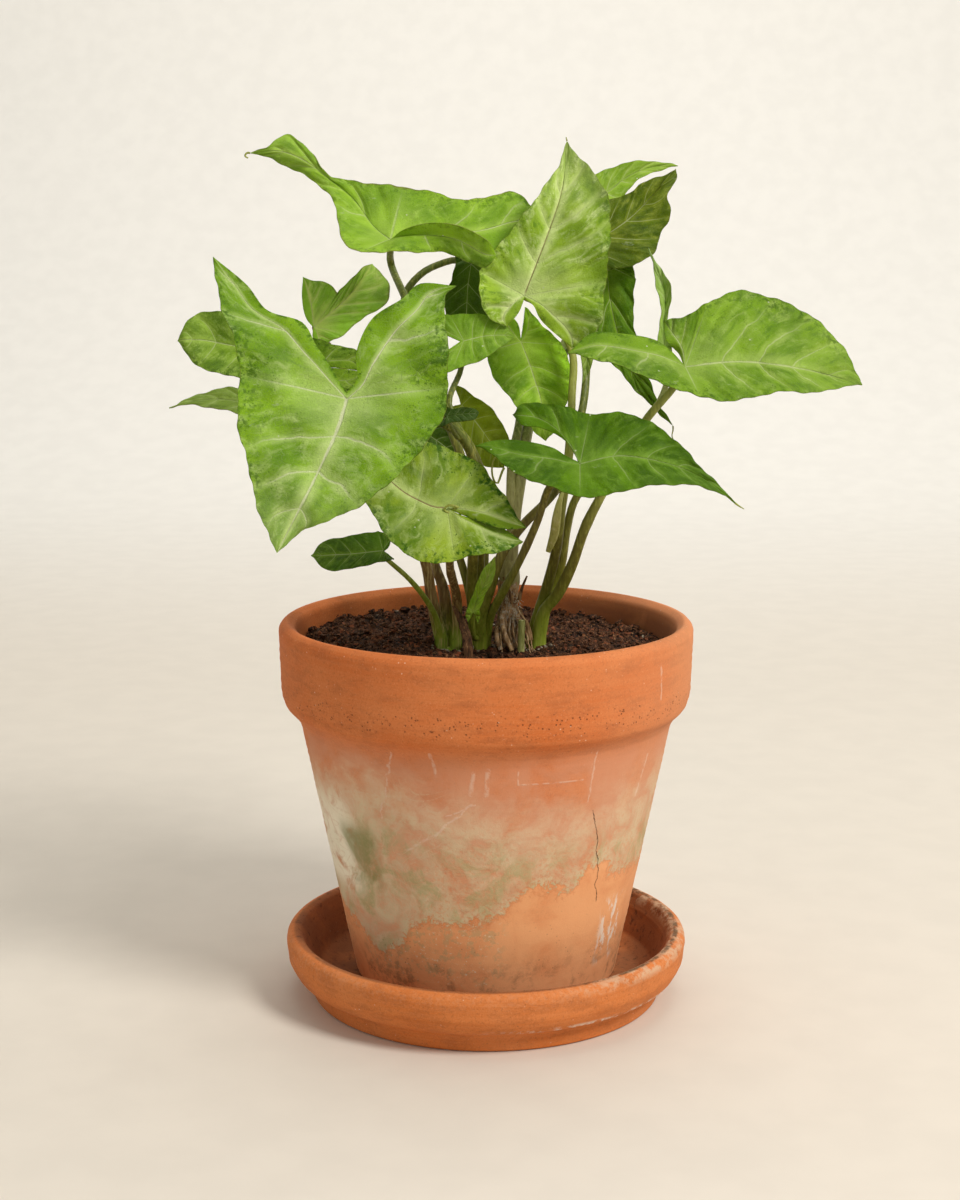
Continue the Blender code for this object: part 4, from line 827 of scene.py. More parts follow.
# The factor at the head of most looks multiplies a leaf's greens: partly its own paler or darker tone, partly
# painted light that lifts blades the lamps leave dim, most of all back_left and centre.
LOOKS = {
    "plain": dict(tone_and_painted_light=1.0, green=rgb(116, 146, 42), light=rgb(160, 184, 84), deep=rgb(58, 90, 20),
                  strength=0.7, glow=0.6,
                  mottle=0.5, speckle=0.3),
    "front_left": dict(tone_and_painted_light=1.3, green=rgb(134, 170, 38), light=rgb(198, 214, 134), deep=rgb(66, 106, 20),
                       strength=1.0,
                       glow=0.95, mottle=0.6, speckle=0.8, veins=4.3, vein=rgb(228, 234, 192)),
    "top_centre": dict(tone_and_painted_light=1.6, green=rgb(148, 172, 66), light=rgb(200, 210, 142), deep=rgb(84, 118, 30),
                       strength=0.5,
                       glow=1.15, mottle=0.9, speckle=0.7, rib=0.8, veins=4.5),
    "lower_centre": dict(tone_and_painted_light=1.45, green=rgb(140, 158, 48), light=rgb(196, 208, 132), deep=rgb(46, 92, 22),
                         strength=0.45,
                         glow=0.9, mottle=0.7, speckle=1.0, rib=1.0, veins=4.0),
    "right_low": dict(tone_and_painted_light=1.3, green=rgb(86, 122, 0), light=rgb(138, 172, 62), deep=rgb(30, 66, 2),
                      glow=0.6, strength=0.35),
    "top_left": dict(tone_and_painted_light=1.8, green=rgb(128, 158, 46), light=rgb(166, 188, 86), deep=rgb(62, 98, 22),
                     speckle=0.6,
                     edge=0.035, margin=rgb(140, 118, 74)),
    "right": dict(tone_and_painted_light=1.15, green=rgb(134, 168, 46), light=rgb(178, 200, 100), deep=rgb(66, 106, 24),
                  strength=0.7, glow=0.8,
                  mottle=0.7, speckle=0.7, veins=5.0),
    "top_right": dict(tone_and_painted_light=0.9, green=rgb(98, 120, 8), light=rgb(170, 180, 66), deep=rgb(46, 72, 2),
                      mottle=1.0, speckle=0.5),
    "top_right_back": dict(tone_and_painted_light=1.25, green=rgb(142, 172, 58), light=rgb(198, 214, 120),
                           deep=rgb(78, 116, 28)),
    "centre": dict(tone_and_painted_light=2.6, green=rgb(114, 146, 36), light=rgb(152, 178, 74), deep=rgb(44, 78, 14),
                   speckle=0.6),
    "centre_left": dict(tone_and_painted_light=1.3, green=rgb(120, 156, 42), light=rgb(160, 186, 80), deep=rgb(56, 92, 20)),
    # back_dark's dark greens are painted shade for a leaf that lies behind the others.
    "back_dark": dict(tone_and_painted_light=1.2, green=rgb(62, 94, 14), light=rgb(106, 134, 46), deep=rgb(26, 52, 6)),
    "olive": dict(tone_and_painted_light=1.2, green=rgb(134, 146, 34), light=rgb(172, 180, 74), deep=rgb(84, 98, 16),
                  through=0.5),
    "dark_curl": dict(green=rgb(48, 76, 12), light=rgb(86, 112, 40), deep=rgb(22, 44, 6)),
    "shade": dict(tone_and_painted_light=1.1, green=rgb(56, 86, 14), light=rgb(96, 122, 44), deep=rgb(26, 50, 6)),
    "left": dict(tone_and_painted_light=1.55, green=rgb(120, 148, 42), light=rgb(164, 186, 86), deep=rgb(44, 78, 18),
                 speckle=0.9, mottle=0.7),
    "left_narrow": dict(tone_and_painted_light=2.1, green=rgb(112, 132, 58), light=rgb(158, 172, 98), deep=rgb(64, 84, 34),
                        speckle=0.5, edge=0.05,
                        margin=rgb(120, 100, 70)),
    "back_left": dict(tone_and_painted_light=3.0, green=rgb(112, 144, 50), light=rgb(158, 180, 92), deep=rgb(56, 86, 26),
                      margin=rgb(120, 100, 74), edge=0.06,
                      strength=0.8, glow=0.8),
    "hanging": dict(tone_and_painted_light=1.35, green=rgb(86, 126, 2), light=rgb(142, 172, 50), deep=rgb(46, 80, 8)),
    "narrow_right": dict(tone_and_painted_light=1.5, green=rgb(150, 176, 100), light=rgb(200, 214, 150),
                         deep=rgb(82, 118, 36)),
    "low_left": dict(tone_and_painted_light=1.45, green=rgb(70, 106, 16), light=rgb(132, 160, 54), deep=rgb(30, 60, 8),
                     mottle=0.8),
    "curled_tip": dict(green=rgb(150, 172, 84), light=rgb(192, 208, 130), deep=rgb(84, 112, 40)),
    "young": dict(tone_and_painted_light=1.9, green=rgb(148, 178, 58), light=rgb(186, 204, 104), deep=rgb(88, 122, 30)),
}


def padded_point(point):
    return np.array([*point, 0.0][:3], float)


def line(points, rows):
    return smooth_line([padded_point(point) for point in points], rows)


def vein_between(start, one, other):
    """A line from start that soon runs midway between two edges and meets them where they end."""
    middle = (one + other) / 2
    left = (1 - np.linspace(0, 1, len(one))[:, None]) ** 2
    return middle + left * (start - middle[0])


def lattice(vein, margin, shares):
    return vein[:, None] * (1 - shares[None, :, None]) + margin[:, None] * shares[None, :, None]


def uneven(path, phase, reach):
    """The same line with small waves that fade out at its ends."""
    steps = np.gradient(path[:, :2], axis=0)
    lengths = np.maximum(np.linalg.norm(steps, axis=1), 1e-9)[:, None]
    side = np.stack([-steps[:, 1], steps[:, 0]], -1) / lengths
    run = np.concatenate([[0], np.linalg.norm(np.diff(path[:, :2], axis=0), axis=1).cumsum()])
    fade = np.clip(6 * (1 - np.linspace(-1, 1, len(path)) ** 2), 0, 1)
    waves = 0.75 * np.sin(run / 6.5 + phase) + 0.45 * np.sin(run / 2.7 + 2.6 * phase)
    size = waves * min(1.0, reach / 110) * fade
    return np.column_stack([path[:, :2] + side * size[:, None], path[:, 2:]])


def blade_patches(leaf, rows, columns):
    """The six parts of a blade: grids of picture points from a vein to the edge, and how each is turned."""
    lobe_rows = rows * 2 // 3
    shares = np.linspace(0, 1, columns + 1) ** 1.25
    inner_shares = np.linspace(0, 1, columns // 2 + 1) ** 1.1
    hub, tip = padded_point(leaf["hub"][:2]), leaf["tip"]
    fronts = {side: line([leaf[side]["waist"], *leaf[side]["front"], tip], rows)
              for side in ("left", "right")}
    midrib = vein_between(hub, fronts["left"], fronts["right"])
    if "midrib" in leaf:
        midrib = line([hub, *leaf["midrib"], tip], rows)
    reach = reach_of(leaf)
    fronts = {side: uneven(fronts[side], hub[0] + len(side), reach) for side in fronts}
    first = [padded_point(leaf[side]["inner"][0]) for side in ("left", "right")]
    notch = hub + NOTCH * ((first[0] + first[1]) / 2 - hub)
    patches = []
    for side, turn in (("left", False), ("right", True)):
        part = leaf[side]
        outer = line([part["waist"], *reversed(part["outer"]), part["lobe"]], lobe_rows)
        inner = line([notch, *part["inner"], part["lobe"]], lobe_rows)
        vein = vein_between(hub, inner, outer)
        outer = uneven(outer, hub[1] + len(side), reach)
        patches.append((lattice(midrib, fronts[side], shares), shares, "front", turn))
        patches.append((lattice(vein, outer, shares), shares, "lobe", not turn))
        patches.append((lattice(vein, inner, inner_shares), inner_shares, "inner", turn))
    return patches


SECTORS = {"front": 0.0, "lobe": 0.5, "inner": 1.0}


def blade_sheet(leaf, rows, columns):
    """Points and triangles of a blade's middle sheet, with each corner's share along and across its part."""
    hub = padded_point(leaf["hub"][:2])
    points, shares, faces, corners, sectors, known = [], [], [], [], [], {}
    for patch, (grid, across, kind, turn) in enumerate(blade_patches(leaf, rows, columns)):
        s = np.linspace(0, 1, grid.shape[0])[:, None]
        t = across[None, :]
        cup = (1 - s ** 2) if kind != "inner" else -0.4 * s * (1 - s)
        depth = leaf["hub"][2] + grid[..., 2]
        depth = depth + leaf["slant"][0] * (grid[..., 0] - hub[0]) / PIXELS_PER_MM
        depth = depth + leaf["slant"][1] * (hub[1] - grid[..., 1]) / PIXELS_PER_MM
        depth = depth - leaf.get("fold", 3.0) * cup * t ** 1.3
        depth = depth - leaf.get("arch", 0.0) * 4 * s * (1 - s)
        depth = depth + leaf.get("wave", 0.8) * np.sin(9.0 * s + 2.1 * patch) * t ** 2 * s * (1 - s) * 4
        from_hub = np.hypot(grid[..., 0] - hub[0], grid[..., 1] - hub[1])
        rolling = np.sin(grid[..., 0] / 17 + hub[1]) * np.sin(grid[..., 1] / 14 + hub[0])
        rolling += 0.6 * np.sin(grid[..., 0] / 9 - grid[..., 1] / 13 + hub[1])
        depth = depth + leaf.get("roll", 1.0) * rolling * np.clip(from_hub / 60 - 0.1, 0, 1)
        spots = spot(grid[..., 0], grid[..., 1], depth)
        down, wide = grid.shape[:2]
        index = np.empty((down, wide), int)
        for i in range(down):
            for j in range(wide):
                key = tuple(np.round(spots[i, j], 3))
                if key not in known:
                    known[key] = len(points)
                    points.append(spots[i, j])
                    shares.append((s[i, 0], t[0, j], patch))
                index[i, j] = known[key]
        for i in range(down - 1):
            for j in range(wide - 1):
                cell = [(i, j), (i + 1, j), (i + 1, j + 1), (i, j + 1)]
                for chosen in ((0, 1, 2), (0, 2, 3)):
                    face = [index[cell[k]] for k in chosen]
                    at = [(s[cell[k][0], 0], t[0, cell[k][1]]) for k in chosen]
                    if len(set(face)) == 3:
                        faces.append(face[::-1] if turn else face)
                        corners.append(at[::-1] if turn else at)
                        sectors.append(SECTORS[kind])
    return np.array(points), np.array(shares), np.array(faces), np.array(corners), np.array(sectors)


def sheet_normals(points, faces):
    sides = points[faces]
    facing = np.cross(sides[:, 1] - sides[:, 0], sides[:, 2] - sides[:, 0])
    normals = np.zeros_like(points)
    for corner in range(3):
        np.add.at(normals, faces[:, corner], facing)
    return normals / np.maximum(np.linalg.norm(normals, axis=1), 1e-9)[:, None]


def coarse_hub(leaf):
    """The middle of a blade and the way its sheet faces there."""
    points, _, faces, _, _ = blade_sheet(leaf, 8, 2)
    return points[0], sheet_normals(points, faces)[0]


def reach_of(leaf):
    """How far a blade's farthest point is from its middle, in pixels of the picture."""
    places = [leaf["tip"]] + [leaf[side][part] for side in ("left", "right") for part in ("lobe", "waist")]
    return max(math.dist(place[:2], leaf["hub"][:2]) for place in places)


def stalk_side(leaf, route_end):
    """The middle of a blade and the way from it towards its stalk."""
    hub, normal = coarse_hub(leaf)
    return hub, normal if np.dot(route_end - hub, normal) > 0 else -normal


def blade_piece(name, leaf, under, look, settings, finish):
    """A blade with sunk veins, swollen places between them and a thin edge. under points to its stalk."""
    reach = reach_of(leaf)
    width = min(1.0, max(0.25, reach / 170))
    rows = max(18, int(60 * width))
    columns = max(6, int(15 * width)) // 2 * 2
    points, shares, faces, corners, sectors = blade_sheet(leaf, rows, columns)
    normals = sheet_normals(points, faces)
    if np.dot(normals[0], under) > 0:
        normals, faces, corners = -normals, faces[:, ::-1], corners[:, ::-1]
    s, t, patch = shares.T
    count = look.get("veins", 5.0)
    side = np.where(patch % 3 == 0, count, count * 0.6)
    ahead = (s - 0.17 * t ** 1.2) * side
    swell = np.abs(np.sin(np.pi * ahead)) ** 0.6 * t * (1 - t) * 4
    swell = swell * np.clip(s * 8, 0, 1) * np.clip((1 - s) * 5, 0, 1)
    swell *= np.where(patch % 3 == 2, 0.12, 1.0)
    vein = np.exp(-(t / 0.035) ** 2) * np.clip((1 - s) * 6, 0, 1) * np.where(patch % 3 == 0, 0.7, 0.25)
    body = settings.thickness / MM * (1 - 0.62 * t ** 3)
    rise = settings.swelling / MM * width * swell
    top = points + normals * (body / 2 + rise - 0.45 * width * vein)[:, None]
    bottom = points + normals * (-body / 2 + rise - 0.95 * width * vein)[:, None]
    total = len(points)
    edges = {}
    for face in faces:
        for a, b in zip(face, np.roll(face, -1)):
            edges[(a, b)] = True
    walls, wall_corners = [], []
    along = {i: (s[i], t[i]) for i in range(total)}
    for a, b in edges:
        if (b, a) not in edges:
            walls += [(b, a, a + total), (b, a + total, b + total)]
            wall_corners += [(along[b], along[a], along[a]), (along[b], along[a], along[b])]
    everything = [*map(tuple, faces), *[tuple(face[::-1] + total) for face in faces], *walls]
    made = piece("blade_" + name, np.vstack([top, bottom]), everything, finish,
                 ["leaf_" + name])
    blade_at = np.vstack([corners.reshape(-1, 2), corners[:, ::-1].reshape(-1, 2),
                          np.array(wall_corners).reshape(-1, 2)])
    kinds = np.concatenate([sectors, sectors, np.zeros(len(walls))])
    unders = np.concatenate([np.zeros(len(faces)), np.ones(len(faces)), np.full(len(walls), 0.5)])
    sector_at = np.repeat(np.stack([kinds, unders], -1), 3, axis=0)
    for label, places in (("Blade", blade_at), ("Sector", sector_at)):
        made.data.uv_layers.new(name=label).data.foreach_set("uv", places.ravel())
    return made


def blade_group():
    """Colours, gloss and relief of an arrowhead leaf, from its place along and across the blade."""
    g, given, out = new_group(
        "Arrowhead Blade",
        {"Green": (0.2, 0.4, 0.05), "Light": (0.4, 0.6, 0.15), "Deep": (0.06, 0.2, 0.02),
         "Vein": (0.6, 0.75, 0.4),
         "Margin": (0.3, 0.16, 0.08), "Veins": 5.0, "Vein Strength": 1.0, "Glow": 1.0, "Mottle": 0.5,
         "Speckle": 0.5,
         "Rib": 0.0, "Edge": 0.01},
        {"Colour": "Color", "Roughness": "Float", "Height": "Float"})
    s, t, _ = g.parts(g.node("UVMap", uv_map="Blade").outputs["UV"])
    kind, under, _ = g.parts(g.node("UVMap", uv_map="Sector").outputs["UV"])
    place = g.place()
    broad = g.noise(place, 36.0, 3.0, 0.55, 0.4)
    cloud = g.noise(place, 120.0, 5.0, 0.62, 0.5)
    fine = g.noise(place, 460.0, 4.0, 0.7)
    lobe = g.span(kind, 0.1, 0.4)
    broad_part = g.span(kind, 0.9, 0.7)
    steady = g.times(g.span(s, 0.0, 0.14), broad_part)

    # Side veins leave the midrib and the two lobe veins, and lean toward the tip
    count = g.times(given["Veins"], g.span(lobe, 0.0, 1.0, 1.0, 0.6))
    ahead = g.math("SUBTRACT", s, g.times(g.math("POWER", t, 1.2), 0.17))
    ahead = g.plus(g.times(ahead, count), g.times(g.math("SUBTRACT", g.noise(place, 60.0, 3.0), 0.5), 0.45))
    far = g.math("PINGPONG", ahead, 0.5)
    started = g.times(g.span(ahead, 0.2, 0.6), g.span(s, 1.0, 0.75), broad_part)
    from_waist = g.times(s, g.span(lobe, 0.0, 1.0, 1.0, 0.55))
    first_vein = g.times(g.span(from_waist, 0.007, 0.002), broad_part)
    first_glow = g.times(g.span(from_waist, 0.055, 0.0), broad_part)
    side_core = g.times(g.most(g.times(g.span(far, 0.036, 0.010), started), first_vein),
                        g.span(t, 0.97, 0.35, 0.1, 1.0))
    side_glow = g.times(g.most(g.times(g.span(far, 0.22, 0.0), started), first_glow),
                        g.span(t, 1.0, 0.4, 0.3, 1.0))
    wide = g.span(s, 0.0, 1.0, 1.0, 1.7)
    across = g.math("DIVIDE", g.plus(t, g.times(g.math("SUBTRACT", cloud, 0.5), 0.05)), wide)
    rib_core = g.times(g.span(across, 0.022, 0.008), g.span(s, 1.0, 0.93))
    rib_glow = g.times(g.span(across, 0.20, 0.0), g.span(broad, 0.3, 0.6, 0.6, 1.0))
    hub_glow = g.times(g.span(s, 0.30, 0.0), g.span(t, 0.8, 0.0))
    net = g.times(g.span(g.cells(place, 320.0, "DISTANCE_TO_EDGE"), 0.06, 0.0), g.span(cloud, 0.40, 0.65))
    net = g.most(net, g.times(g.span(g.cells(place, 1000.0, "DISTANCE_TO_EDGE"), 0.10, 0.0), 0.6))

    # Soft cloudy greens, darker between the veins
    colour = g.mix(g.span(broad, 0.35, 0.65, 0.0, 0.55), given["Green"], given["Deep"])
    colour = g.mix(g.times(g.span(far, 0.10, 0.45), g.span(cloud, 0.3, 0.6), g.span(t, 0.05, 0.3), steady,
                           0.40), colour,
                   given["Deep"])
    ribbon = g.node("CombineXYZ", {"X": g.times(ahead, 2.2), "Y": g.times(t, 1.6), "Z": kind}).outputs[0]
    ribbon = g.noise(ribbon, 2.0, 4.0, 0.62, 0.4)
    light = g.times(g.span(ribbon, 0.45, 0.68), g.span(cloud, 0.35, 0.6), steady)
    colour = g.mix(g.times(light, given["Mottle"], 0.75), colour, given["Light"])
    dark = g.times(g.span(ribbon, 0.50, 0.32), g.span(cloud, 0.60, 0.40), steady)
    colour = g.mix(g.times(dark, given["Mottle"], 0.9), colour, given["Deep"])
    patches = g.noise(place, 75.0, 6.0, 0.68, 0.8)
    colour = g.mix(g.times(g.span(patches, 0.54, 0.68), given["Mottle"], 0.5), colour, given["Light"])
    colour = g.mix(g.times(g.span(patches, 0.44, 0.32), given["Mottle"], 0.6), colour, given["Deep"])
    glow = g.most(g.times(side_glow, 0.6), rib_glow, g.times(hub_glow, 0.7))
    colour = g.mix(g.times(glow, given["Glow"], g.span(cloud, 0.2, 0.6, 0.55, 1.0), 0.85), colour,
                   given["Light"])
    veins = g.most(g.times(side_core, 0.65), rib_core, g.times(net, 0.14))
    colour = g.mix(g.times(veins, given["Vein Strength"], 0.9), colour, given["Vein"])
    rib_line = g.times(g.span(t, 0.013, 0.006), g.span(s, 0.0, 0.04), given["Rib"], g.span(kind, 0.4, 0.1))
    colour = g.mix(rib_line, colour, (0.30, 0.19, 0.09))

    # Dark stippling that gathers toward the edge and on the lobes, pale scars and the thin edge
    dots = g.times(g.span(g.cells(place, 900.0), 0.36, 0.18),
                   g.span(g.noise(place, 150.0, 4.0, 0.65), 0.50, 0.60))
    at_edge = g.plus(t, g.times(g.math("SUBTRACT", cloud, 0.5), 1.0), g.times(lobe, 0.10))
    blotch = g.times(g.span(at_edge, 0.70, 1.02), g.span(fine, 0.46, 0.60))
    shaded = g.times(g.most(g.times(dots, g.span(at_edge, 0.3, 0.9, 0.35, 1.0)), blotch), given["Speckle"])
    colour = g.mix(shaded, colour, g.mix(0.4, given["Deep"], (0.02, 0.06, 0.005)))
    scars = g.times(g.span(g.noise(g.stretched(place, (1, 1, 2.5)), 95.0, 4.0, 0.6), 0.66, 0.74), 0.30)
    white_dots = g.times(g.span(g.cells(place, 110.0), 0.050, 0.025), 0.8)
    colour = g.mix(g.most(scars, white_dots), colour, (0.68, 0.74, 0.48))
    toward_tip = g.times(g.span(s, 0.35, 0.95), g.span(kind, 0.4, 0.1), given["Glow"], 0.22)
    colour = g.mix(toward_tip, colour, given["Light"])
    to_edge = g.math("DIVIDE", g.math("SUBTRACT", 1.0, t),
                     g.times(given["Edge"], g.span(cloud, 0.35, 0.65, 0.4, 1.6)))
    colour = g.mix(g.times(g.span(to_edge, 1.0, 0.3), 0.5), colour, given["Margin"])
    pale_under = g.mix(0.5, colour, g.mix(0.6, given["Light"], (0.26, 0.32, 0.12)))
    colour = g.mix(g.span(under, 0.6, 0.9), colour, pale_under)
    g.set(out["Colour"], colour)
    g.set(out["Roughness"], g.plus(g.span(cloud, 0.3, 0.7, 0.40, 0.58), g.times(under, 0.12)))
    relief = g.plus(g.times(g.span(far, 0.0, 0.30), steady, 0.8), g.times(side_core, -0.2),
                    g.times(rib_core, -0.3),
                    g.times(net, -0.20), g.times(fine, 0.25), g.times(cloud, 0.9))
    g.set(out["Height"], relief)
    return g.tree


TONES = {"green": (0.93, 1.0, 0.60), "light": (0.94, 0.98, 1.05), "deep": (0.88, 0.95, 0.60)}


def blade_material(name, group, look, settings):
    g, shader = new_material("blade_" + name)
    shader.inputs["Specular IOR Level"].default_value = look.get("gloss", 0.11)
    # Each blade's greens are multiplied up, partly for its own tone and partly as painted light for blades
    # the lamps leave dim.
    tone_and_painted_light = look.get("tone_and_painted_light", 1.0)
    green, light, deep = (tuple(min(1.0, part * tone_and_painted_light * share) for part, share in zip(look[tone], shares))
                          for tone, shares in TONES.items())
    result = g.use(group, Green=green, Light=light, Deep=deep,
                   Vein=look.get("vein", tuple(settings.vein)),
                   Margin=look.get("margin", tuple(settings.margin)),
                   Veins=look.get("veins", 5.0), Vein_Strength=look.get("strength", 0.6),
                   Glow=look.get("glow", 0.6),
                   Mottle=look.get("mottle", 0.5), Speckle=look.get("speckle", 0.4), Rib=look.get("rib", 0.0),
                   Edge=look.get("edge", 0.008))
    wide = min(1.0, max(0.3, reach_of(LEAVES["leaf_" + name]) / 170))
    normal = bumped(g, result["Height"], 0.0011 * wide, 0.8)
    g.set(shader.inputs["Base Color"], result["Colour"])
    g.set(shader.inputs["Roughness"], result["Roughness"])
    g.set(shader.inputs["Normal"], normal)
    warm = g.mix(0.5, result["Colour"], (0.50, 0.62, 0.02))
    through = g.node("BsdfTranslucent", {"Color": warm, "Normal": normal})
    both = g.node("MixShader", {0: look.get("through", 0.30), 1: shader.outputs[0], 2: through.outputs[0]})
    g.set(g.tree.nodes["Material Output"].inputs["Surface"], both.outputs[0])
    return bpy.data.materials["blade_" + name]


# Stems

CLUMPS = {
    "stems_left": dict(at=(-15.0, 5.0), radius=6.6),
    "stems_middle": dict(at=(-1.4, 7.5), radius=6.1),
    "stems_right": dict(at=(20.5, 8.0), radius=5.6),
}

PETIOLES = {
    "stems_left": [
        dict(leaf="leaf_left", foot=(-18, 4), radii=(2.7, 1.5),
             via=[(432, 600, 4), (426, 564, 2), (405, 505, -4), (365, 440, -4), (325, 395, 2)]),
        dict(leaf="leaf_back_left", foot=(-15, 8), radii=(2.5, 1.5),
             via=[(444, 590, 9), (434, 564, 10), (415, 500, 14), (385, 440, 18), (350, 380, 20),
                  (328, 345, 30)]),
        dict(leaf="leaf_left_narrow", foot=(-16, 6), radii=(2.2, 1.4),
             via=[(440, 580, 11), (405, 500, 24), (360, 445, 34), (322, 427, 40)]),
        dict(leaf="leaf_lower_centre", foot=(-12, 3), radii=(2.3, 1.5),
             via=[(457, 600, 0), (450, 568, -14), (451, 540, -30)]),
        dict(leaf="leaf_low_left", foot=(-18, 3), radii=(1.5, 1.0), via=[(434, 613, 0), (412, 582, -7)]),
    ],
    "stems_middle": [
        dict(leaf="leaf_top_left", foot=(-4, 9), radii=(2.7, 1.5),
             via=[(478, 588, 4), (480, 540, -3), (482, 480, -12), (470, 447, -18), (446, 413, -25),
                  (427, 344, -28), (405, 297, -16), (391, 264, 6)]),
        dict(leaf="leaf_front_left", foot=(-4.2, 6.5), radii=(2.6, 1.7),
             via=[(472, 590, 0), (474, 540, -8), (476, 475, -16), (462, 438, -26), (436, 420, -36),
                  (395, 407, -46), (365, 400, -52)]),
        dict(leaf="leaf_centre_left", foot=(-3, 8), radii=(2.0, 1.2),
             via=[(478, 560, 2), (478, 480, -8), (458, 425, -14), (449, 403, -12), (461, 369, -2)]),
        dict(leaf="leaf_back_dark", foot=(-4, 10), radii=(2.2, 1.6),
             via=[(476, 570, 8), (470, 490, 2), (455, 440, 0), (436, 400, 3), (413, 350, 18), (405, 296, 30),
                  (421, 274, 34), (440, 264, 36), (458, 260, 34)]),
        dict(leaf="leaf_olive", foot=(-2, 10), radii=(2.0, 1.4),
             via=[(484, 590, 12), (484, 530, 20), (472, 460, 32), (464, 425, 32)]),
        dict(leaf="leaf_dark_curl", foot=(-4, 7), radii=(1.6, 1.0),
             via=[(479, 560, 0), (481, 485, -12), (466, 446, -20), (456, 436, -30)]),
        dict(leaf="leaf_shade", foot=(-4.5, 7), radii=(2.0, 1.3),
             via=[(473, 612, 6), (461, 562, 6), (440, 510, 14), (422, 455, 26)]),
        dict(leaf="leaf_right_low", foot=(0, 5), radii=(2.0, 1.5),
             via=[(490, 617, 0), (503, 592, -7), (520, 560, -10), (538, 520, -13), (549, 488, -18),
                  (566, 474, -30)]),
        dict(leaf="leaf_top_right", foot=(-2, 4), radii=(2.4, 1.5),
             via=[(480, 622, 0), (490, 590, -5), (503, 552, -8), (524, 524, -5), (545, 503, -1),
                  (557, 488, 3),
                  (572, 445, 15), (582, 411, 21), (586, 379, 27), (587, 320, 34), (584, 280, 46)]),
        dict(leaf="leaf_curled_tip", radii=(1.0, 0.8), via=[(586.5, 352, 30.2), (587.5, 346, 28.6)]),
        dict(leaf="leaf_young", foot=(-3.5, 4), radii=(1.5, 1.1), via=[(473, 636, -6)]),
    ],
    "stems_right": [
        dict(leaf="leaf_top_centre", foot=(19, 9), radii=(2.6, 1.4),
             via=[(537, 620, 8), (548, 583, 5), (557, 546, 1), (561, 510, -3), (566, 480, -4), (570, 440, 0),
                  (572, 395, 7), (572, 352, 12), (552, 318, 16), (536, 303, 15)]),
        dict(leaf="leaf_narrow_right", foot=(22, 10), radii=(2.3, 1.2),
             via=[(548, 600, 10), (560, 570, 8), (567, 528, 5), (576, 498, 2), (608, 460, 0), (646, 421, 0),
                  (662, 396, 8), (668, 370, 22)]),
        dict(leaf="leaf_right", foot=(21, 6), radii=(2.8, 1.6),
             via=[(544, 611, 4), (557, 595, 1), (572, 565, -3), (585, 528, -7), (600, 498, -10),
                  (646, 420, -14),
                  (674, 387, -16)]),
    ],
    "stems_back": [
        dict(leaf="leaf_centre", foot=(10.5, 9), radii=(2.4, 1.6),
             via=[(512, 540, 10), (511, 498, 12), (512, 460, 16), (519, 424, 24), (522, 385, 36),
                  (522, 358, 36)]),
        dict(leaf="leaf_hanging", foot=(9.5, 8), radii=(2.9, 1.6),
             via=[(512, 545, 9), (516, 509, 12), (521, 476, 15), (528, 426, 26), (545, 380, 44),
                  (575, 325, 62),
                  (600, 285, 64)]),
        dict(leaf="leaf_top_right_back", foot=(9.5, 9), radii=(2.2, 1.4),
             via=[(513, 540, 11), (517, 500, 14), (524, 460, 20), (532, 420, 32), (556, 370, 52),
                  (580, 320, 70),
                  (590, 260, 74), (589, 222, 68)]),
    ],
}


def stalk(data, start_height, seed):
    """Points and faces of a petiole, from its foot or the stem it branches off to the middle of its blade."""
    route = [spot(*place) for place in data["via"]]
    hub, under = stalk_side(LEAVES[data["leaf"]], route[-1])
    end = hub + under * 0.35
    knee = end + under * KNEE
    foot = []
    if "foot" in data:
        foot = [np.array([*data["foot"], start_height])]
        route.insert(0, np.array([*data["foot"], max(SOIL_TOP, start_height) + 2.0]))
    length = np.linalg.norm(np.diff([*route, knee], axis=0), axis=1).sum()
    path = np.vstack([*foot, smooth_line([*route, knee], max(4, int(length / STALK_STEP))), end])
    share = np.linspace(0, 1, len(path))
    widths = data["radii"][0] + (data["radii"][1] - data["radii"][0]) * share ** 0.8
    widths *= 1 + 0.12 * np.exp(-(share / 0.06) ** 2)
    knuckle = np.exp(-((share - data.get("knuckle", 0.45)) / 0.012) ** 2)
    widths *= 1 + 0.03 * np.sin(share * 31 + seed) + 0.10 * knuckle
    widths *= 1 - 0.14 * np.sqrt(share)
    widths[-2:] *= (0.9, 0.7)
    return tube(path, widths, 16, groove=0.16, seed=seed)


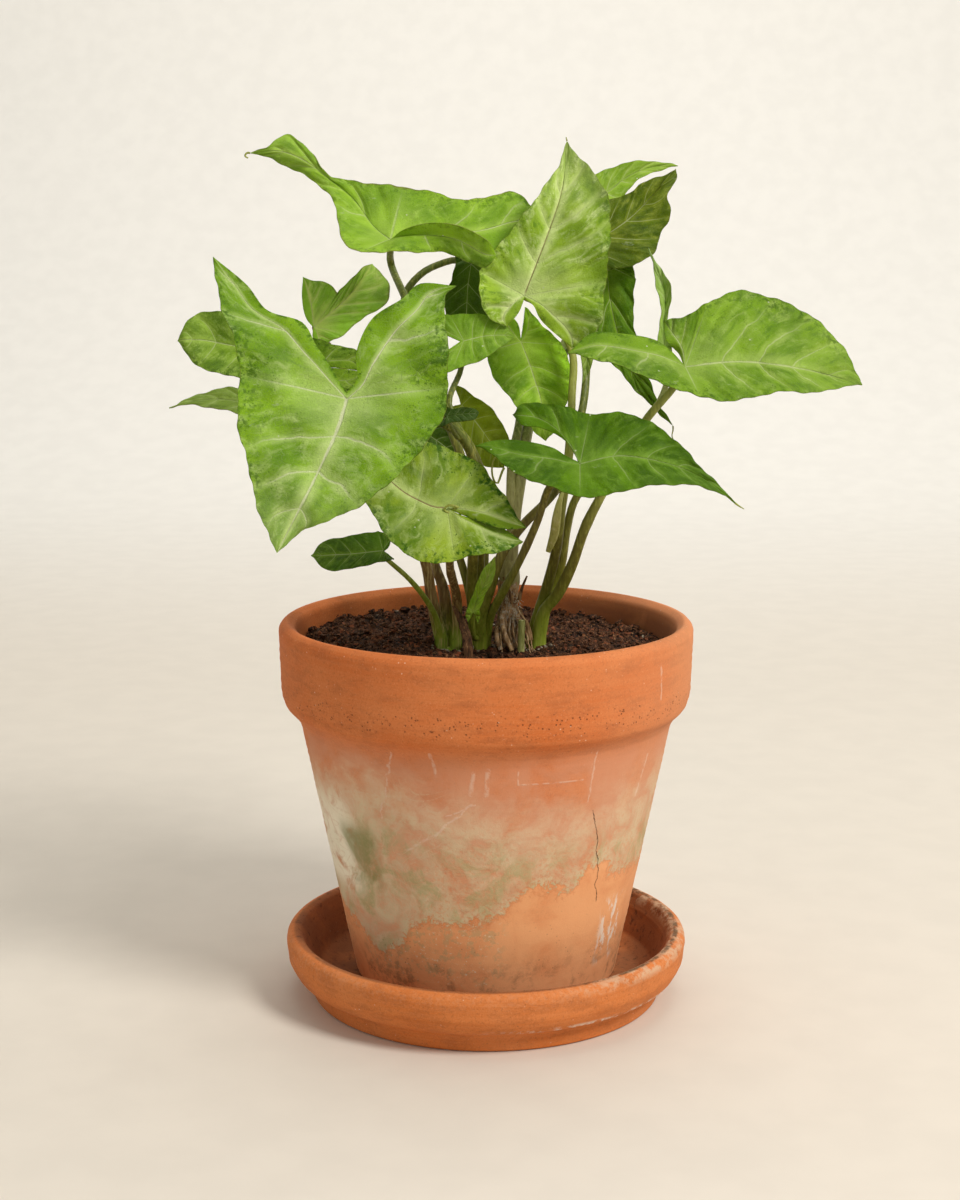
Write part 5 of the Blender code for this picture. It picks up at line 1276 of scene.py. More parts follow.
def stem_group():
    """Skin of a petiole or stem: colours from foot to top, fine lengthwise stripes and flecks."""
    g, given, out = new_group(
        "Stem Skin",
        {"Foot": (0.2, 0.2, 0.06), "Middle": (0.25, 0.25, 0.08), "Top": (0.3, 0.4, 0.12),
         "Stripe": (0.5, 0.45, 0.2),
         "Foot Height": 0.150, "Top Height": 0.300, "Stripes": 0.5, "Flecks": 0.5},
        {"Colour": "Color", "Roughness": "Float", "Height": "Float"})
    place = g.place()
    _, _, z = g.parts(place)
    drift = g.times(g.math("SUBTRACT", g.noise(place, 60.0, 3.0), 0.5), 0.03)
    height = g.plus(z, drift)
    half_way = g.times(g.plus(given["Foot Height"], given["Top Height"]), 0.5)
    low = g.node("MapRange", {"Value": height, "From Min": given["Foot Height"], "From Max": half_way},
                 interpolation_type="SMOOTHSTEP").outputs[0]
    high = g.node("MapRange", {"Value": height, "From Min": half_way, "From Max": given["Top Height"]},
                  interpolation_type="SMOOTHSTEP").outputs[0]
    colour = g.mix(high, g.mix(low, given["Foot"], given["Middle"]), given["Top"])
    stripes = g.noise(g.stretched(place, (1100, 1100, 60)), 1.0, 3.0, 0.6)
    broad = g.noise(g.stretched(place, (260, 260, 35)), 1.0, 3.0, 0.6)
    colour = g.mix(g.times(g.span(stripes, 0.50, 0.66), given["Stripes"], 0.8), colour, given["Stripe"])
    dark = g.mix(1.0, colour, (0.45, 0.40, 0.35), "MULTIPLY")
    colour = g.mix(g.times(g.span(stripes, 0.46, 0.34), given["Stripes"], 0.75), colour, dark)
    colour = g.mix(g.times(g.span(broad, 0.55, 0.75), 0.2), colour, given["Stripe"])
    flecks = g.times(g.span(g.cells(g.stretched(place, (1, 1, 0.35)), 900.0), 0.25, 0.12),
                     g.span(g.noise(place, 200.0, 4.0, 0.7), 0.46, 0.60), given["Flecks"])
    colour = g.mix(g.times(flecks, 0.8), colour, (0.05, 0.03, 0.015))
    g.set(out["Colour"], colour)
    g.set(out["Roughness"], g.span(broad, 0.3, 0.7, 0.38, 0.60))
    g.set(out["Height"], g.plus(g.times(stripes, 0.8), g.times(flecks, -0.4)))
    return g.tree


def stem_material(name, group, look):
    g, shader = new_material(name)
    result = g.use(group, **look)
    g.set(shader.inputs["Base Color"], result["Colour"])
    g.set(shader.inputs["Roughness"], result["Roughness"])
    g.set(shader.inputs["Normal"], bumped(g, result["Height"], 0.00025, 0.8))
    shader.inputs["Specular IOR Level"].default_value = 0.4
    shader.inputs["Subsurface Weight"].default_value = 0.0
    return bpy.data.materials[name]


STEM_LOOKS = {
    "stems_left": dict(Foot=rgb(132, 156, 40), Middle=rgb(136, 106, 60), Top=rgb(132, 110, 62),
                       Stripe=rgb(206, 186, 128),
                       Foot_Height=0.140, Top_Height=0.182, Stripes=0.9, Flecks=0.6),
    "stems_middle": dict(Foot=rgb(130, 146, 42), Middle=rgb(118, 106, 42), Top=rgb(92, 104, 32),
                         Stripe=rgb(168, 162, 80),
                         Foot_Height=0.144, Top_Height=0.235, Stripes=0.6, Flecks=0.5),
    "stems_right": dict(Foot=rgb(136, 152, 44), Middle=rgb(116, 110, 36), Top=rgb(140, 146, 58),
                        Stripe=rgb(176, 180, 84),
                        Foot_Height=0.144, Top_Height=0.215, Stripes=0.5, Flecks=0.4),
    "stems_back": dict(Foot=rgb(160, 152, 98), Middle=rgb(156, 154, 96), Top=rgb(104, 120, 44),
                       Stripe=rgb(200, 196, 134),
                       Foot_Height=0.170, Top_Height=0.240, Stripes=0.5, Flecks=0.4),
}


LOW_LEFT_LOOK = dict(Foot=rgb(150, 166, 52), Middle=rgb(140, 158, 50), Top=rgb(120, 132, 46),
                     Stripe=rgb(190, 196, 100),
                     Foot_Height=0.144, Top_Height=0.190, Stripes=0.5, Flecks=0.3)


def make_stems(name, group):
    """One clump of stems, grown together at its foot."""
    finish = stem_material(name.replace("stems", "skin"), group, STEM_LOOKS[name])
    if name == "stems_back":
        start = STUMP_TOP + GAP
        foot = [(*STUMP_AT, start - 1.5), (*STUMP_AT, start + 1), (*STUMP_AT, start + 5),
                (*STUMP_AT, start + 8)]
        parts = [tube(foot, [STUMP_RADIUS - 0.3, STUMP_RADIUS, 3.8, 2.6], 20, lumps=0.03, seed=5)]
        start += 1.0
    else:
        clump = CLUMPS[name]
        heights = [SOIL_TOP - FOOT_DEPTH, SOIL_TOP - 6, SOIL_TOP - 4, SOIL_TOP - 2.5, SOIL_TOP - 1.2]
        radii = [clump["radius"] * share for share in (0.97, 0.95, 0.85, 0.65, 0.35)]
        parts = [tube([(*clump["at"], height) for height in heights], radii, 24, lumps=0.03, seed=7)]
        start = SOIL_TOP - 6.0
    for place, data in enumerate(PETIOLES[name]):
        if data["leaf"] == "leaf_low_left":
            points, faces = stalk(data, start, place + 11)
            piece("stalk_low_left", points, faces, stem_material("skin_low_left", group, LOW_LEFT_LOOK))
        else:
            parts.append(stalk(data, start, place + 11))
    return fused(name.replace("stems", "stalks"), parts, finish, [name])


# Old wood, roots and dried bits


def wood_material(name, colours, scale=1.0, white=0.0):
    """Ridged bark or dried tissue that goes between three colours."""
    dark, middle, pale = colours
    g, shader = new_material(name)
    place = g.place()
    ridges = g.noise(g.stretched(place, (700 * scale, 700 * scale, 110 * scale)), 1.0, 5.0, 0.65, 0.6)
    broad = g.noise(place, 220.0 * scale, 4.0, 0.6)
    colour = g.mix(g.span(ridges, 0.35, 0.62), dark, middle)
    colour = g.mix(g.times(g.span(ridges, 0.56, 0.72), g.span(broad, 0.35, 0.6, 0.3, 1.0)), colour, pale)
    if white:
        colour = g.mix(g.times(g.span(g.noise(place, 480.0, 4.0, 0.7), 0.50, 0.62), white), colour,
                       rgb(214, 208, 190))
    g.set(shader.inputs["Base Color"], colour)
    g.set(shader.inputs["Roughness"], g.span(broad, 0.3, 0.7, 0.7, 0.92))
    g.set(shader.inputs["Normal"], bumped(g, ridges, 0.0006, 0.9))
    shader.inputs["Specular IOR Level"].default_value = 0.25
    return bpy.data.materials[name]


def make_stump():
    """The old woody stem with thick aerial roots that arch down round it."""
    x, y = STUMP_AT
    finish = wood_material("old_wood", (rgb(116, 86, 58), rgb(190, 154, 112), rgb(222, 198, 156)), white=0.5)
    heights = np.concatenate([[SOIL_TOP - FOOT_DEPTH], np.linspace(SOIL_TOP - 2, STUMP_TOP, 15)])
    trunk = [(x - 0.6 * math.sin((height - SOIL_TOP) / 9), y, height) for height in heights]
    radii = STUMP_RADIUS + 0.25 * np.sin(heights * 1.1) - 0.2
    parts = [tube(trunk, radii, 22, lumps=0.05, seed=3)]
    roots = [[(x, y, 158), (x - 3, y - 5, 155), (x - 2, y - 9, 148), (x + 1, y - 11, 141.5)],
             [(x, y, 153), (x - 4, y - 4, 151), (x - 5, y - 8, 146), (x - 3.5, y - 10, 141.5)],
             [(x, y, 156), (x + 4, y - 4, 152), (x + 4, y - 7, 146.5), (x + 6, y - 8, 141.5)]]
    for place, root in enumerate(roots):
        path = smooth_line(root, 16)
        parts.append(tube(path, np.linspace(1.35, 0.9, len(path)), 12, lumps=0.06, seed=place + 30))
    return fused("old_stump", parts, finish, ["woody_stump"])


def make_rootlets():
    """Thin dry roots that hang from the stump and lie on the soil, and white fuzz between them."""
    x, y = STUMP_AT
    draw = np.random.default_rng(21)
    finish = wood_material("root_skin", (rgb(130, 98, 68), rgb(196, 162, 120), rgb(226, 202, 160)))
    parts = []
    for place in range(16):
        angle = draw.uniform(-2.9, 0.1)
        reach, high = draw.uniform(7, 16), draw.uniform(147, 160)
        out = np.array([math.cos(angle), math.sin(angle)])
        start = np.array([x, y]) + out * 4.0
        middle = np.array([x, y]) + out * reach * 0.6 + draw.normal(size=2) * 1.2
        end = np.array([x, y]) + out * reach + draw.normal(size=2) * 1.5
        ground = soil_height(end[0], end[1])
        route = [(*start, high), (*middle, (high + ground) / 2 + draw.uniform(0, 3)), (*end, ground + 0.4),
                 (*(end + out * draw.uniform(1, 6) + draw.normal(size=2)), ground - 0.6)]
        path = smooth_line(route, 14)
        parts.append(tube(path, np.linspace(0.42, 0.2, len(path)) * draw.uniform(0.6, 1.1), 6, seed=place))
    points, faces = gathered(parts)
    made = [piece("rootlets", points, faces, finish)]
    hairs = []
    for place in range(90):
        angle, high = draw.uniform(-2.6, -0.5), draw.uniform(150, 162)
        start = np.array([x + 4.6 * math.cos(angle), y + 4.6 * math.sin(angle), high])
        away = np.array([math.cos(angle), math.sin(angle), draw.normal() * 0.7])
        bend = draw.normal(size=3) * 0.8
        hairs.append(tube([start, start + away * 0.9, start + away * draw.uniform(1.4, 2.6) + bend],
                          [0.09, 0.08, 0.04], 4, seed=place))
    points, faces = gathered(hairs)
    made.append(piece("root_fuzz", points, faces,
                      wood_material("fuzz",
                                    (rgb(190, 180, 160), rgb(226, 220, 204), rgb(244, 240, 230)))))
    return made


def trailing(leaf, bends):
    """A route on from the tip of a blade, bent by steps in pixels of the picture and millimetres of depth."""
    points, shares = blade_sheet(leaf, 8, 2)[:2]
    end = points[(shares[:, 0] == 1) & (shares[:, 2] == 0)][0]
    steps = [spot(leaf["tip"][0] + across, leaf["tip"][1] + down, end[1] + behind)
             for across, down, behind in bends]
    return [end, *steps]


def make_tendrils(group):
    """Thin leaf ends, the curl at the middle of the low leaf and the pale sheath at the right."""
    green = stem_material("tendril", group,
                          {**STEM_LOOKS["stems_right"], "Foot_Height": 0.10, "Top_Height": 0.12})
    ends = {"leaf_olive": ([(-2, 4, -1), (-7, 16, -2), (-11, 10, -3), (-12, -1, -3), (-10, -9, -3),
                            (-4, -13, -3),
                            (0, -10, -3)], 0.5, 0.3),
            "leaf_hanging": ([(0, 4, 0), (-1, 10, 1), (1, 15, 1)], 0.35, 0.15),
            "leaf_right_low": ([(4, 3, 0), (9, 6, 1)], 0.4, 0.15),
            "leaf_top_left": ([(-3, 0, 0), (-5, 3, 0), (-2, 5, 0)], 0.45, 0.3),
            "leaf_top_centre": ([(-0.5, -2, 0), (-1, -4, 0)], 0.35, 0.15)}
    routes = [(trailing(LEAVES[name], bends), first, last) for name, (bends, first, last) in ends.items()]
    curl = [(450, 509, -45.5), (458, 507, -47.5), (448, 505.5, -47.8), (444, 510, -47.5), (450, 513, -47.2),
            (461, 515, -45.5)]
    routes.append(([spot(*place) for place in curl], 0.45, 0.35))
    parts = []
    for route, first, last in routes:
        path = smooth_line(route, 14)
        parts.append(tube(path, np.linspace(first, last, len(path)), 8))
    points, faces = gathered(parts)
    piece("drip_tips", points, faces, green)
    sheath = [spot(*place)
              for place in ((548, 552, -2), (554, 535, -5), (557, 515, -8), (560, 500, -8), (564, 490, -6))]
    path = smooth_line(sheath, 16)
    points, faces = tube(path, 1.7 * np.sin(np.linspace(0.5, 3.0, len(path))) + 0.15, 12, flat=0.45,
                         groove=0.3)
    pale = stem_material("pale_sheath", group,
                         dict(Foot=rgb(176, 178, 96), Middle=rgb(196, 194, 112), Top=rgb(206, 200, 126),
                                                    Stripe=rgb(222, 216, 160), Stripes=0.6, Flecks=0.3))
    piece("petiole_sheath", points, faces, pale)


def make_remnants():
    """The cut stub of an old petiole, the dried sheath in front and the dried tips between the stems."""
    x, y = STUB_AT
    green = wood_material("stub_skin", (rgb(120, 124, 62), rgb(170, 172, 104), rgb(206, 202, 150)))
    brown = wood_material("dry_sheath", (rgb(52, 34, 22), rgb(112, 78, 50), rgb(168, 134, 96)))
    tall = [(x, y, SOIL_TOP - 8), (x, y, SOIL_TOP), (x + 0.1, y, SOIL_TOP + 5), (x + 0.3, y, SOIL_TOP + 10),
            (x + 0.3, y, SOIL_TOP + 11)]
    points, faces = tube(tall, np.array([1, 1, 0.96, 1.0, 0.9]) * STUB_RADIUS, 18, lumps=0.03, seed=1)
    piece("petiole_stub", points, faces, green, ["cut_stub"])
    x, y = SHEATH_AT
    route = [(x, y, SOIL_TOP - 8), (x, y, SOIL_TOP + 2), spot(467, 638, -16), spot(461, 620, -11),
             spot(453, 606, -9)]
    path = smooth_line(route, 24)
    share = np.linspace(0, 1, len(path))
    radii = np.interp(share, [0, 0.45, 0.7, 0.9, 1.0], [SHEATH_RADIUS, SHEATH_RADIUS, 1.7, 1.1, 0.35])
    radii = radii * (1 + 0.06 * np.sin(share * 40))
    points, faces = tube(path, radii, 16, flat=0.55, groove=0.3, lumps=0.04, seed=2)
    piece("dry_leaf_base", points, faces, brown, ["dried_sheath"])
    tips = []
    for route, width in (([(519, 600, -4), (522, 588, -5), (527, 576, -6)], 0.8),
                         ([(512, 604, -5), (509, 590, -6), (503, 577, -6)], 0.7),
                         ([(530, 640, 2), (529, 632, 2), (526, 620, 3)], 1.3)):
        path = smooth_line([spot(*place) for place in route], 10)
        tips.append(tube(path, width * np.linspace(1.0, 0.3, len(path)) ** 0.7, 10, flat=0.5, lumps=0.06,
                         seed=9))
    points, faces = gathered(tips)
    tan = wood_material("dry_tip", (rgb(96, 70, 44), rgb(164, 130, 88), rgb(208, 182, 140)))
    piece("dry_tips", points, faces, tan)


# Soil


def soil_height(x, y):
    """Height of the uneven surface, hollow round the stems and higher at the back left."""
    hollow = 3.0 * np.exp(-((x / 24.0) ** 2 + ((y + 4) / 20.0) ** 2))
    lumps = np.sin(x * 0.21 + 1.3) * np.cos(y * 0.17 - 0.4) + 0.6 * np.sin(x * 0.43 - y * 0.37)
    return SOIL_TOP - hollow + SOIL_BUMP * lumps * 0.6 + 0.025 * (y - x)


def crumbly(x, y):
    """Small rises and pits of loose soil at one place."""
    broad = fractal(Vector((x * 0.14, y * 0.14, 3.1)), 1.0, 2.0, 4)
    grainy = fractal(Vector((x * 0.60, y * 0.60, 7.7)), 0.7, 2.1, 4)
    return 1.5 * broad + 0.8 * grainy


def make_soil(settings, finish):
    """A plug of soil with a crumbly top that reaches the pot's wall."""
    rings, sides = 56, 220
    turn = 2 * math.pi * np.arange(sides) / sides
    points = []
    for ring in range(1, rings + 1):
        radius = SOIL_EDGE * ring / rings
        for angle in turn:
            x, y = radius * math.cos(angle), radius * math.sin(angle)
            sunk = 1.2 * max(0.0, (ring / rings - 0.94) / 0.06)
            points.append((x, y, soil_height(x, y) + crumbly(x, y) * settings.relief - sunk))
    neck = RIM_TOP - COLLAR_HEIGHT - COLLAR_STEP
    for radius, height in ((RIM_RADIUS - LIP - 1.4, neck + 14), (BODY_TOP_RADIUS - WALL - 1.0, neck - 1),
                           (BASE_RADIUS - WALL + 1, POT_FLOOR + 5),
                           (BASE_RADIUS - WALL - 3, POT_FLOOR + GAP)):
        points += [(radius * math.cos(angle), radius * math.sin(angle), height) for angle in turn]
    total = rings + 4
    top, foot = len(points), len(points) + 1
    points += [(0, 0, soil_height(0.0, 0.0)), (0, 0, POT_FLOOR + GAP)]
    faces = []
    for side in range(sides):
        after = (side + 1) % sides
        faces.append((top, side, after))
        faces.append((foot, (total - 1) * sides + after, (total - 1) * sides + side))
        for ring in range(total - 1):
            low, high = ring * sides, (ring + 1) * sides
            faces.append((low + side, high + side, high + after, low + after))
    return piece("soil_bed", points, faces, finish, ["soil"])


def lump(centre, size, draw):
    """Points and faces of one crumb: a rounded lump with an uneven, flattened form."""
    points = CRUMB_POINTS * (1 + 0.20 * draw.normal(size=(len(CRUMB_POINTS), 1)))
    points = points * (size * draw.uniform(0.7, 1.35, size=3) * (1.0, 1.0, 0.75))
    a, b = draw.uniform(0, 2 * math.pi, size=2)
    turn = np.array([[math.cos(a), -math.sin(a), 0], [math.sin(a), math.cos(a), 0], [0, 0, 1]])
    tip = np.array([[1, 0, 0], [0, math.cos(b * 0.1), -math.sin(b * 0.1)],
                    [0, math.sin(b * 0.1), math.cos(b * 0.1)]])
    return points @ (turn @ tip).T + centre, CRUMB_FACES


def ball(level):
    """Points and faces of a ball of unit radius, made of near equal triangles."""
    shape = bmesh.new()
    bmesh.ops.create_icosphere(shape, subdivisions=level, radius=1.0)
    points = np.array([corner.co[:] for corner in shape.verts])
    faces = [tuple(corner.index for corner in face.verts) for face in shape.faces]
    shape.free()
    return points, faces


CRUMB_POINTS, CRUMB_FACES = ball(1)


def clear_of_feet(x, y, room):
    feet = [(clump["at"], clump["radius"]) for clump in CLUMPS.values()] + [(STUMP_AT, STUMP_RADIUS)]
    return all(math.hypot(x - at[0], y - at[1]) > radius + room for at, radius in feet)


def make_crumbs(settings, finish):
    """Loose crumbs of soil in many sizes over the whole surface."""
    draw = np.random.default_rng(4)
    parts = []
    while len(parts) < settings.crumbs:
        radius, angle = (SOIL_EDGE - 1.5) * math.sqrt(draw.uniform()), draw.uniform(0, 2 * math.pi)
        x, y = radius * math.cos(angle), radius * math.sin(angle)
        size = 0.30 + 1.05 * draw.uniform() ** 2.8
        if draw.uniform() < 0.018:
            size = draw.uniform(1.4, 2.3)
        if clear_of_feet(x, y, size * 0.5) and radius + size < SOIL_EDGE:
            ground = soil_height(x, y) + crumbly(x, y) * settings.relief
            parts.append(lump((x, y, ground + size * 0.25), size, draw))
    points, faces = gathered(parts)
    return piece("soil_crumbs", points, faces, finish)


def make_grit(finish):
    """Whitish grains that gather at the feet of the stems and lie here and there on the soil."""
    draw = np.random.default_rng(8)
    parts = []
    for place in range(90):
        if place < 60:
            at, radius = [((-15.0, 5.0), 6.6), ((-1.4, 7.5), 6.1), ((20.5, 8.0), 5.6)][place % 3]
            angle = draw.uniform(-2.7, -0.3)
            x, y = (at[i] + (radius + draw.uniform(0.2, 2.6)) * (math.cos, math.sin)[i](angle)
                    for i in (0, 1))
        else:
            radius, angle = 70 * math.sqrt(draw.uniform()), draw.uniform(0, 2 * math.pi)
            x, y = radius * math.cos(angle), radius * math.sin(angle)
        size = draw.uniform(0.35, 0.85)
        parts.append(lump((x, y, soil_height(x, y) + crumbly(x, y) + size * 0.6), size, draw))
    points, faces = gathered(parts)
    return piece("grit", points, faces, finish)


def soil_material(settings):
    g, shader = new_material("damp_soil")
    place = g.place()
    clods = g.noise(place, 160.0, 5.0, 0.65)
    grain = g.noise(place, 900.0, 4.0, 0.7)
    warm = g.noise(place, 420.0, 2.0, 0.5)
    colour = g.mix(g.span(clods, 0.36, 0.62), settings.dark, settings.middle)
    colour = g.mix(g.times(g.span(grain, 0.50, 0.68), 0.65), colour, settings.pale)
    colour = g.mix(g.times(g.span(warm, 0.56, 0.68), 0.65), colour, rgb(142, 80, 50))
    colour = g.mix(g.times(g.span(g.noise(place, 620.0, 2.0, 0.5), 0.64, 0.72), 0.5), colour,
                   rgb(176, 128, 92))
    *_, z = g.parts(place)
    # Soil that lies low, most of all in the hollow round the stems, turns dark: painted shade.
    deep = g.times(g.span(z, 0.1425, 0.1385), 0.75)
    colour = g.mix(deep, colour, rgb(18, 11, 8))
    g.set(shader.inputs["Base Color"], colour)
    g.set(shader.inputs["Roughness"], g.span(grain, 0.3, 0.7, 0.80, 0.97))
    g.set(shader.inputs["Normal"], bumped(g, g.plus(grain, g.times(clods, 0.6)), 0.0008, 0.9))
    shader.inputs["Specular IOR Level"].default_value = 0.2
    return bpy.data.materials["damp_soil"]


# Stage


def make_stage(settings):
    """A pale floor that curves up into a wall, soft lights and the camera."""
    bend, far, wide, high = 0.9, 2.2, 3.0, 2.6
    profile = [(-2.5, 0.0), (far - bend, 0.0)]
    profile += [(far - bend + bend * math.sin(a), bend - bend * math.cos(a))
                for a in np.linspace(0, math.pi / 2, 24)[1:]]
    profile.append((far, high))
    points = [(x, y, z) for y, z in profile for x in np.linspace(-wide, wide, 7)]
    faces = []
    for i in range(len(profile) - 1):
        for j in range(6):
            a = i * 7 + j
            faces.append((a, a + 1, a + 8, a + 7))
    mesh = bpy.data.meshes.new("backdrop")
    mesh.from_pydata(points, [], faces)
    mesh.shade_smooth()
    backdrop = bpy.data.objects.new("backdrop", mesh)
    bpy.context.scene.collection.objects.link(backdrop)
    g, shader = new_material("paper")
    grain = g.noise(g.place(), 40.0, 3.0)
    _, back, _ = g.parts(g.place())
    colour = g.mix(g.span(back, 0.5, 1.7), settings.floor, settings.wall)
    colour = g.mix(g.span(grain, 0.3, 0.7, 0.0, 0.03), colour, (0.0, 0.0, 0.0))
    g.set(shader.inputs["Base Color"], colour)
    shader.inputs["Roughness"].default_value = 0.85
    shader.inputs["Specular IOR Level"].default_value = 0.2
    mesh.materials.append(bpy.data.materials["paper"])

    world = bpy.data.worlds.new("studio")
    world.use_nodes = True
    world.node_tree.nodes["Background"].inputs["Color"].default_value = (*settings.air, 1.0)
    world.node_tree.nodes["Background"].inputs["Strength"].default_value = settings.air_strength
    bpy.context.scene.world = world
    for name, place, size, power, tint in (
            ("key", (1.02, -0.92, 1.38), 0.6, settings.key, (1.0, 0.965, 0.91)),
            ("fill", (-1.3, -0.9, 0.9), 1.4, settings.fill, (1.0, 0.98, 0.95)),
            ("top", (0.1, 0.3, 1.7), 1.2, settings.top, (1.0, 0.99, 0.97)),
            ("wall", (0.2, 0.75, 1.7), 1.4, settings.back, (1.0, 0.99, 0.97))):
        lamp = bpy.data.lights.new(name, "AREA")
        lamp.shape = "DISK"
        lamp.size = size
        lamp.energy = power
        lamp.color = tint
        light = bpy.data.objects.new(name, lamp)
        light.location = place
        aim = Vector((0.0, 2.2, 0.7) if name == "wall" else (0.0, 0.0, 0.17)) - light.location
        light.rotation_euler = aim.to_track_quat("-Z", "Y").to_euler()
        bpy.context.scene.collection.objects.link(light)

    lens = bpy.data.cameras.new("camera")
    lens.sensor_width = SENSOR
    lens.lens = FOCAL * SENSOR / PICTURE_HEIGHT
    lens.clip_start = 0.05
    camera = bpy.data.objects.new("camera", lens)
    camera.location = EYE * MM
    camera.rotation_euler = (math.pi / 2 - TILT, 0.0, 0.0)
    bpy.context.scene.collection.objects.link(camera)
    bpy.context.scene.camera = camera
    bpy.context.scene.view_settings.view_transform = "Standard"


# Settings, operators and the panel


def colour_setting(name, description, default):
    return FloatVectorProperty(name=name, description=description, subtype="COLOR", size=3, min=0.0, max=1.0,
                               default=default)


def shared(name, build):
    """A node group that several materials use, built once."""
    return bpy.data.node_groups.get(name) or build()


class ARROWHEAD_PG_clay(PropertyGroup):
    clay: colour_setting("Clay", "Fired clay where it is bare", rgb(203, 108, 52))
    worn: colour_setting("Worn Clay", "Clay rubbed pale by handling", rgb(220, 146, 94))
    lime: colour_setting("Lime", "Scale that dries on the wall", rgb(206, 188, 152))
    algae: colour_setting("Algae", "Green film on the damp wall", rgb(150, 148, 92))
    turns: IntProperty(name="Turns", description="Faces round the pot and the saucer", default=180, min=24,
                       max=400)


class ARROWHEAD_PG_leaves(PropertyGroup):
    thickness: FloatProperty(name="Thickness", description="Thickness of a blade near its veins",
                             default=0.0006,
                             min=0.0002, max=0.003, unit="LENGTH", precision=5)
    swelling: FloatProperty(name="Swelling", description="How far a blade rises between its side veins",
                            default=0.0007, min=0.0, max=0.003, unit="LENGTH", precision=5)
    vein: colour_setting("Veins", "Side veins and midrib", rgb(214, 224, 168))
    margin: colour_setting("Edge", "The thin brown edge of a blade", rgb(92, 78, 26))


class ARROWHEAD_PG_soil(PropertyGroup):
    crumbs: IntProperty(name="Crumbs", description="Loose crumbs on the surface", default=7000, min=0,
                        max=9000)
    relief: FloatProperty(name="Relief", description="How rough the surface is", default=1.0, min=0.0,
                          max=3.0)
    dark: colour_setting("Dark", "Damp soil between the crumbs", rgb(30, 17, 9))
    middle: colour_setting("Middle", "Most of the soil", rgb(74, 44, 26))
    pale: colour_setting("Pale", "Dry specks", rgb(150, 104, 70))


class ARROWHEAD_PG_stage(PropertyGroup):
    floor: colour_setting("Floor", "Paper under the pot", rgb(219, 212, 201))
    wall: colour_setting("Wall", "Paper behind the pot", rgb(249, 247, 242))
    air: colour_setting("Air", "Colour of the light from all round", rgb(255, 250, 240))
    air_strength: FloatProperty(name="Air Strength", description="Light from all round", default=0.44,
                                min=0.0)
    key: FloatProperty(name="Key", description="Light from the right and the front", default=26.5, min=0.0,
                       unit="POWER")
    fill: FloatProperty(name="Fill", description="Light from the left", default=1.5, min=0.0, unit="POWER")
    top: FloatProperty(name="Top", description="Light from above", default=6.0, min=0.0, unit="POWER")
    back: FloatProperty(name="Back", description="Light on the wall", default=9.5, min=0.0, unit="POWER")


class ARROWHEAD_OT_pot(Operator):
    """Make the clay pot"""

    bl_idname = "arrowhead.make_pot"
    bl_label = "Clay Pot"

    def execute(self, context):
        settings = context.scene.arrowhead_clay
        finish = pot_material(settings, shared("Turned Clay", clay_group), shared("Wall Line", line_group))
        profile = divided(softened(pot_profile(), 1.4, True), 1.6, True)
        points, faces = lathe(profile, settings.turns, 0.12, True)
        piece("clay_pot", points, faces, finish, ["pot"])
        return {"FINISHED"}


class ARROWHEAD_OT_saucer(Operator):
    """Make the clay saucer"""

    bl_idname = "arrowhead.make_saucer"
    bl_label = "Clay Saucer"

    def execute(self, context):
        settings = context.scene.arrowhead_clay
        finish = saucer_material(settings, shared("Turned Clay", clay_group))
        profile = divided(softened(saucer_profile(), 1.4, False), 1.6, False)
        points, faces = lathe(profile, settings.turns, 0.15, False)
        piece("clay_saucer", points, faces, finish, ["saucer"])
        return {"FINISHED"}


class ARROWHEAD_OT_soil(Operator):
    """Make the soil with its crumbs and grit"""

    bl_idname = "arrowhead.make_soil"
    bl_label = "Soil"

    def execute(self, context):
        settings = context.scene.arrowhead_soil
        finish = soil_material(settings)
        make_soil(settings, finish)
        make_crumbs(settings, finish)
        make_grit(wood_material("grit_stone", (rgb(120, 108, 92), rgb(168, 158, 140), rgb(214, 206, 190)),
                                2.0))
        return {"FINISHED"}


class ARROWHEAD_OT_leaves(Operator):
    """Make every leaf blade"""

    bl_idname = "arrowhead.make_leaves"
    bl_label = "Leaves"

    def execute(self, context):
        settings = context.scene.arrowhead_leaves
        group = shared("Arrowhead Blade", blade_group)
        ends = {data["leaf"]: spot(*data["via"][-1]) for clump in PETIOLES.values() for data in clump}
        for name, leaf in LEAVES.items():
            short = name.removeprefix("leaf_")
            look = {**LOOKS["plain"], **LOOKS.get(short, {})}
            finish = blade_material(short, group, look, settings)
            _, under = stalk_side(leaf, ends[name])
            blade_piece(short, leaf, under, look, settings, finish)
        return {"FINISHED"}


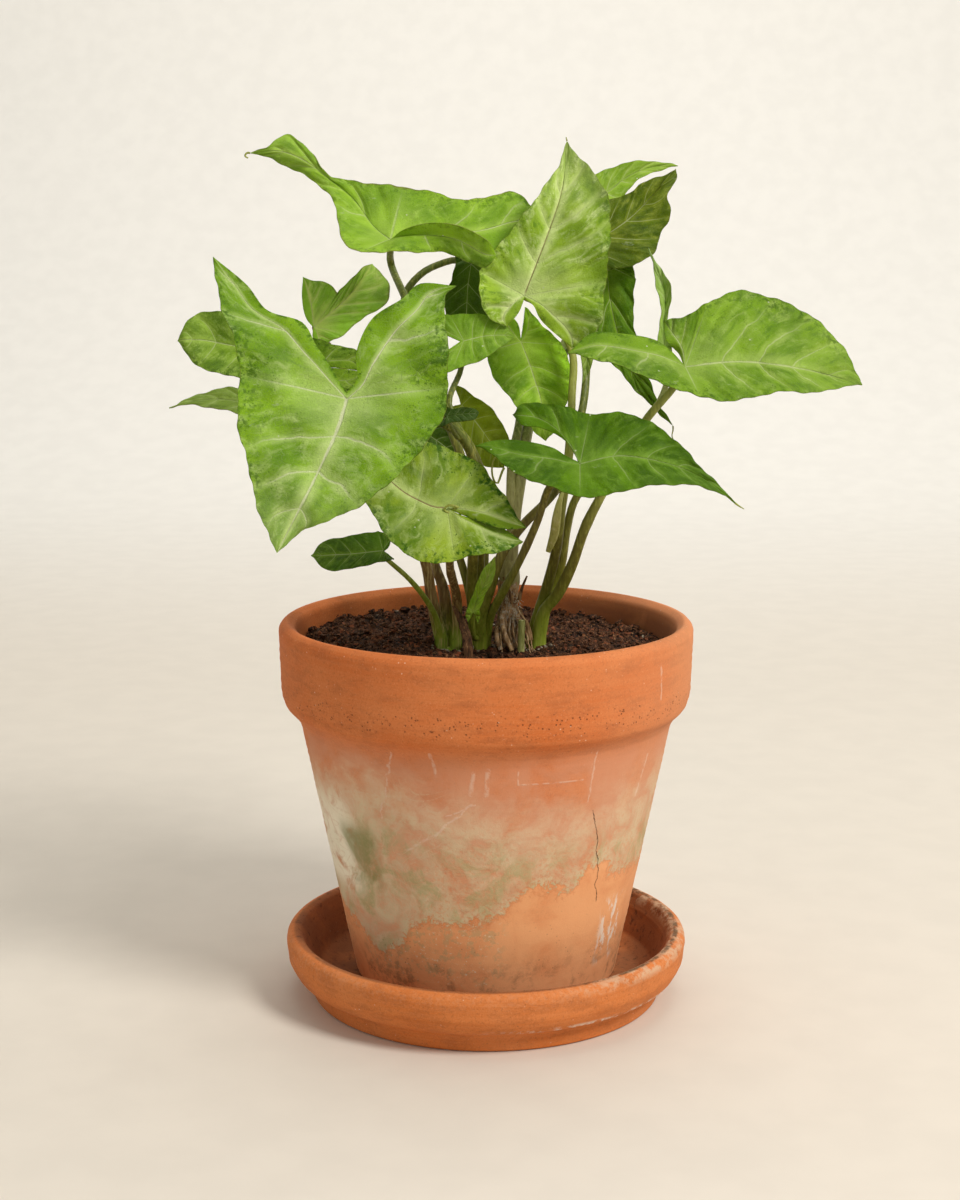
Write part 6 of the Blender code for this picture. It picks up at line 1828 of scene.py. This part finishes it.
class ARROWHEAD_OT_stems(Operator):
    """Make the clumps of stems"""

    bl_idname = "arrowhead.make_stems"
    bl_label = "Stems"

    def execute(self, context):
        group = shared("Stem Skin", stem_group)
        for name in PETIOLES:
            make_stems(name, group)
        return {"FINISHED"}


class ARROWHEAD_OT_remnants(Operator):
    """Make the old stump, its roots and the dried remnants"""

    bl_idname = "arrowhead.make_remnants"
    bl_label = "Stump and Remnants"

    def execute(self, context):
        make_stump()
        make_rootlets()
        make_remnants()
        make_tendrils(shared("Stem Skin", stem_group))
        return {"FINISHED"}


class ARROWHEAD_OT_stage(Operator):
    """Make the floor, the lights and the camera"""

    bl_idname = "arrowhead.make_stage"
    bl_label = "Stage"

    def execute(self, context):
        make_stage(context.scene.arrowhead_stage)
        return {"FINISHED"}


SETTINGS = {"arrowhead_clay": ARROWHEAD_PG_clay, "arrowhead_leaves": ARROWHEAD_PG_leaves,
            "arrowhead_soil": ARROWHEAD_PG_soil, "arrowhead_stage": ARROWHEAD_PG_stage}
OPERATORS = (ARROWHEAD_OT_saucer, ARROWHEAD_OT_pot, ARROWHEAD_OT_soil, ARROWHEAD_OT_stems,
             ARROWHEAD_OT_leaves,
             ARROWHEAD_OT_remnants, ARROWHEAD_OT_stage)


class ARROWHEAD_PT_panel(Panel):
    """Settings of the plant and a button for each of its pieces"""

    bl_idname = "ARROWHEAD_PT_panel"
    bl_label = "Arrowhead Plant"
    bl_space_type = "VIEW_3D"
    bl_region_type = "UI"
    bl_category = "Arrowhead"

    def draw(self, context):
        for operator in OPERATORS:
            self.layout.operator(operator.bl_idname)
        for label, group in SETTINGS.items():
            box = self.layout.box()
            for name in group.__annotations__:
                box.prop(getattr(context.scene, label), name)


CLASSES = (*SETTINGS.values(), *OPERATORS, ARROWHEAD_PT_panel)


def register():
    for made in CLASSES:
        bpy.utils.register_class(made)
    for label, group in SETTINGS.items():
        setattr(bpy.types.Scene, label, PointerProperty(type=group))


def unregister():
    for label in SETTINGS:
        delattr(bpy.types.Scene, label)
    for made in reversed(CLASSES):
        bpy.utils.unregister_class(made)


def main():
    register()
    for operator in OPERATORS:
        place = operator.bl_idname.split(".")[1]
        getattr(bpy.ops.arrowhead, place)()


if __name__ == "__main__":
    main()
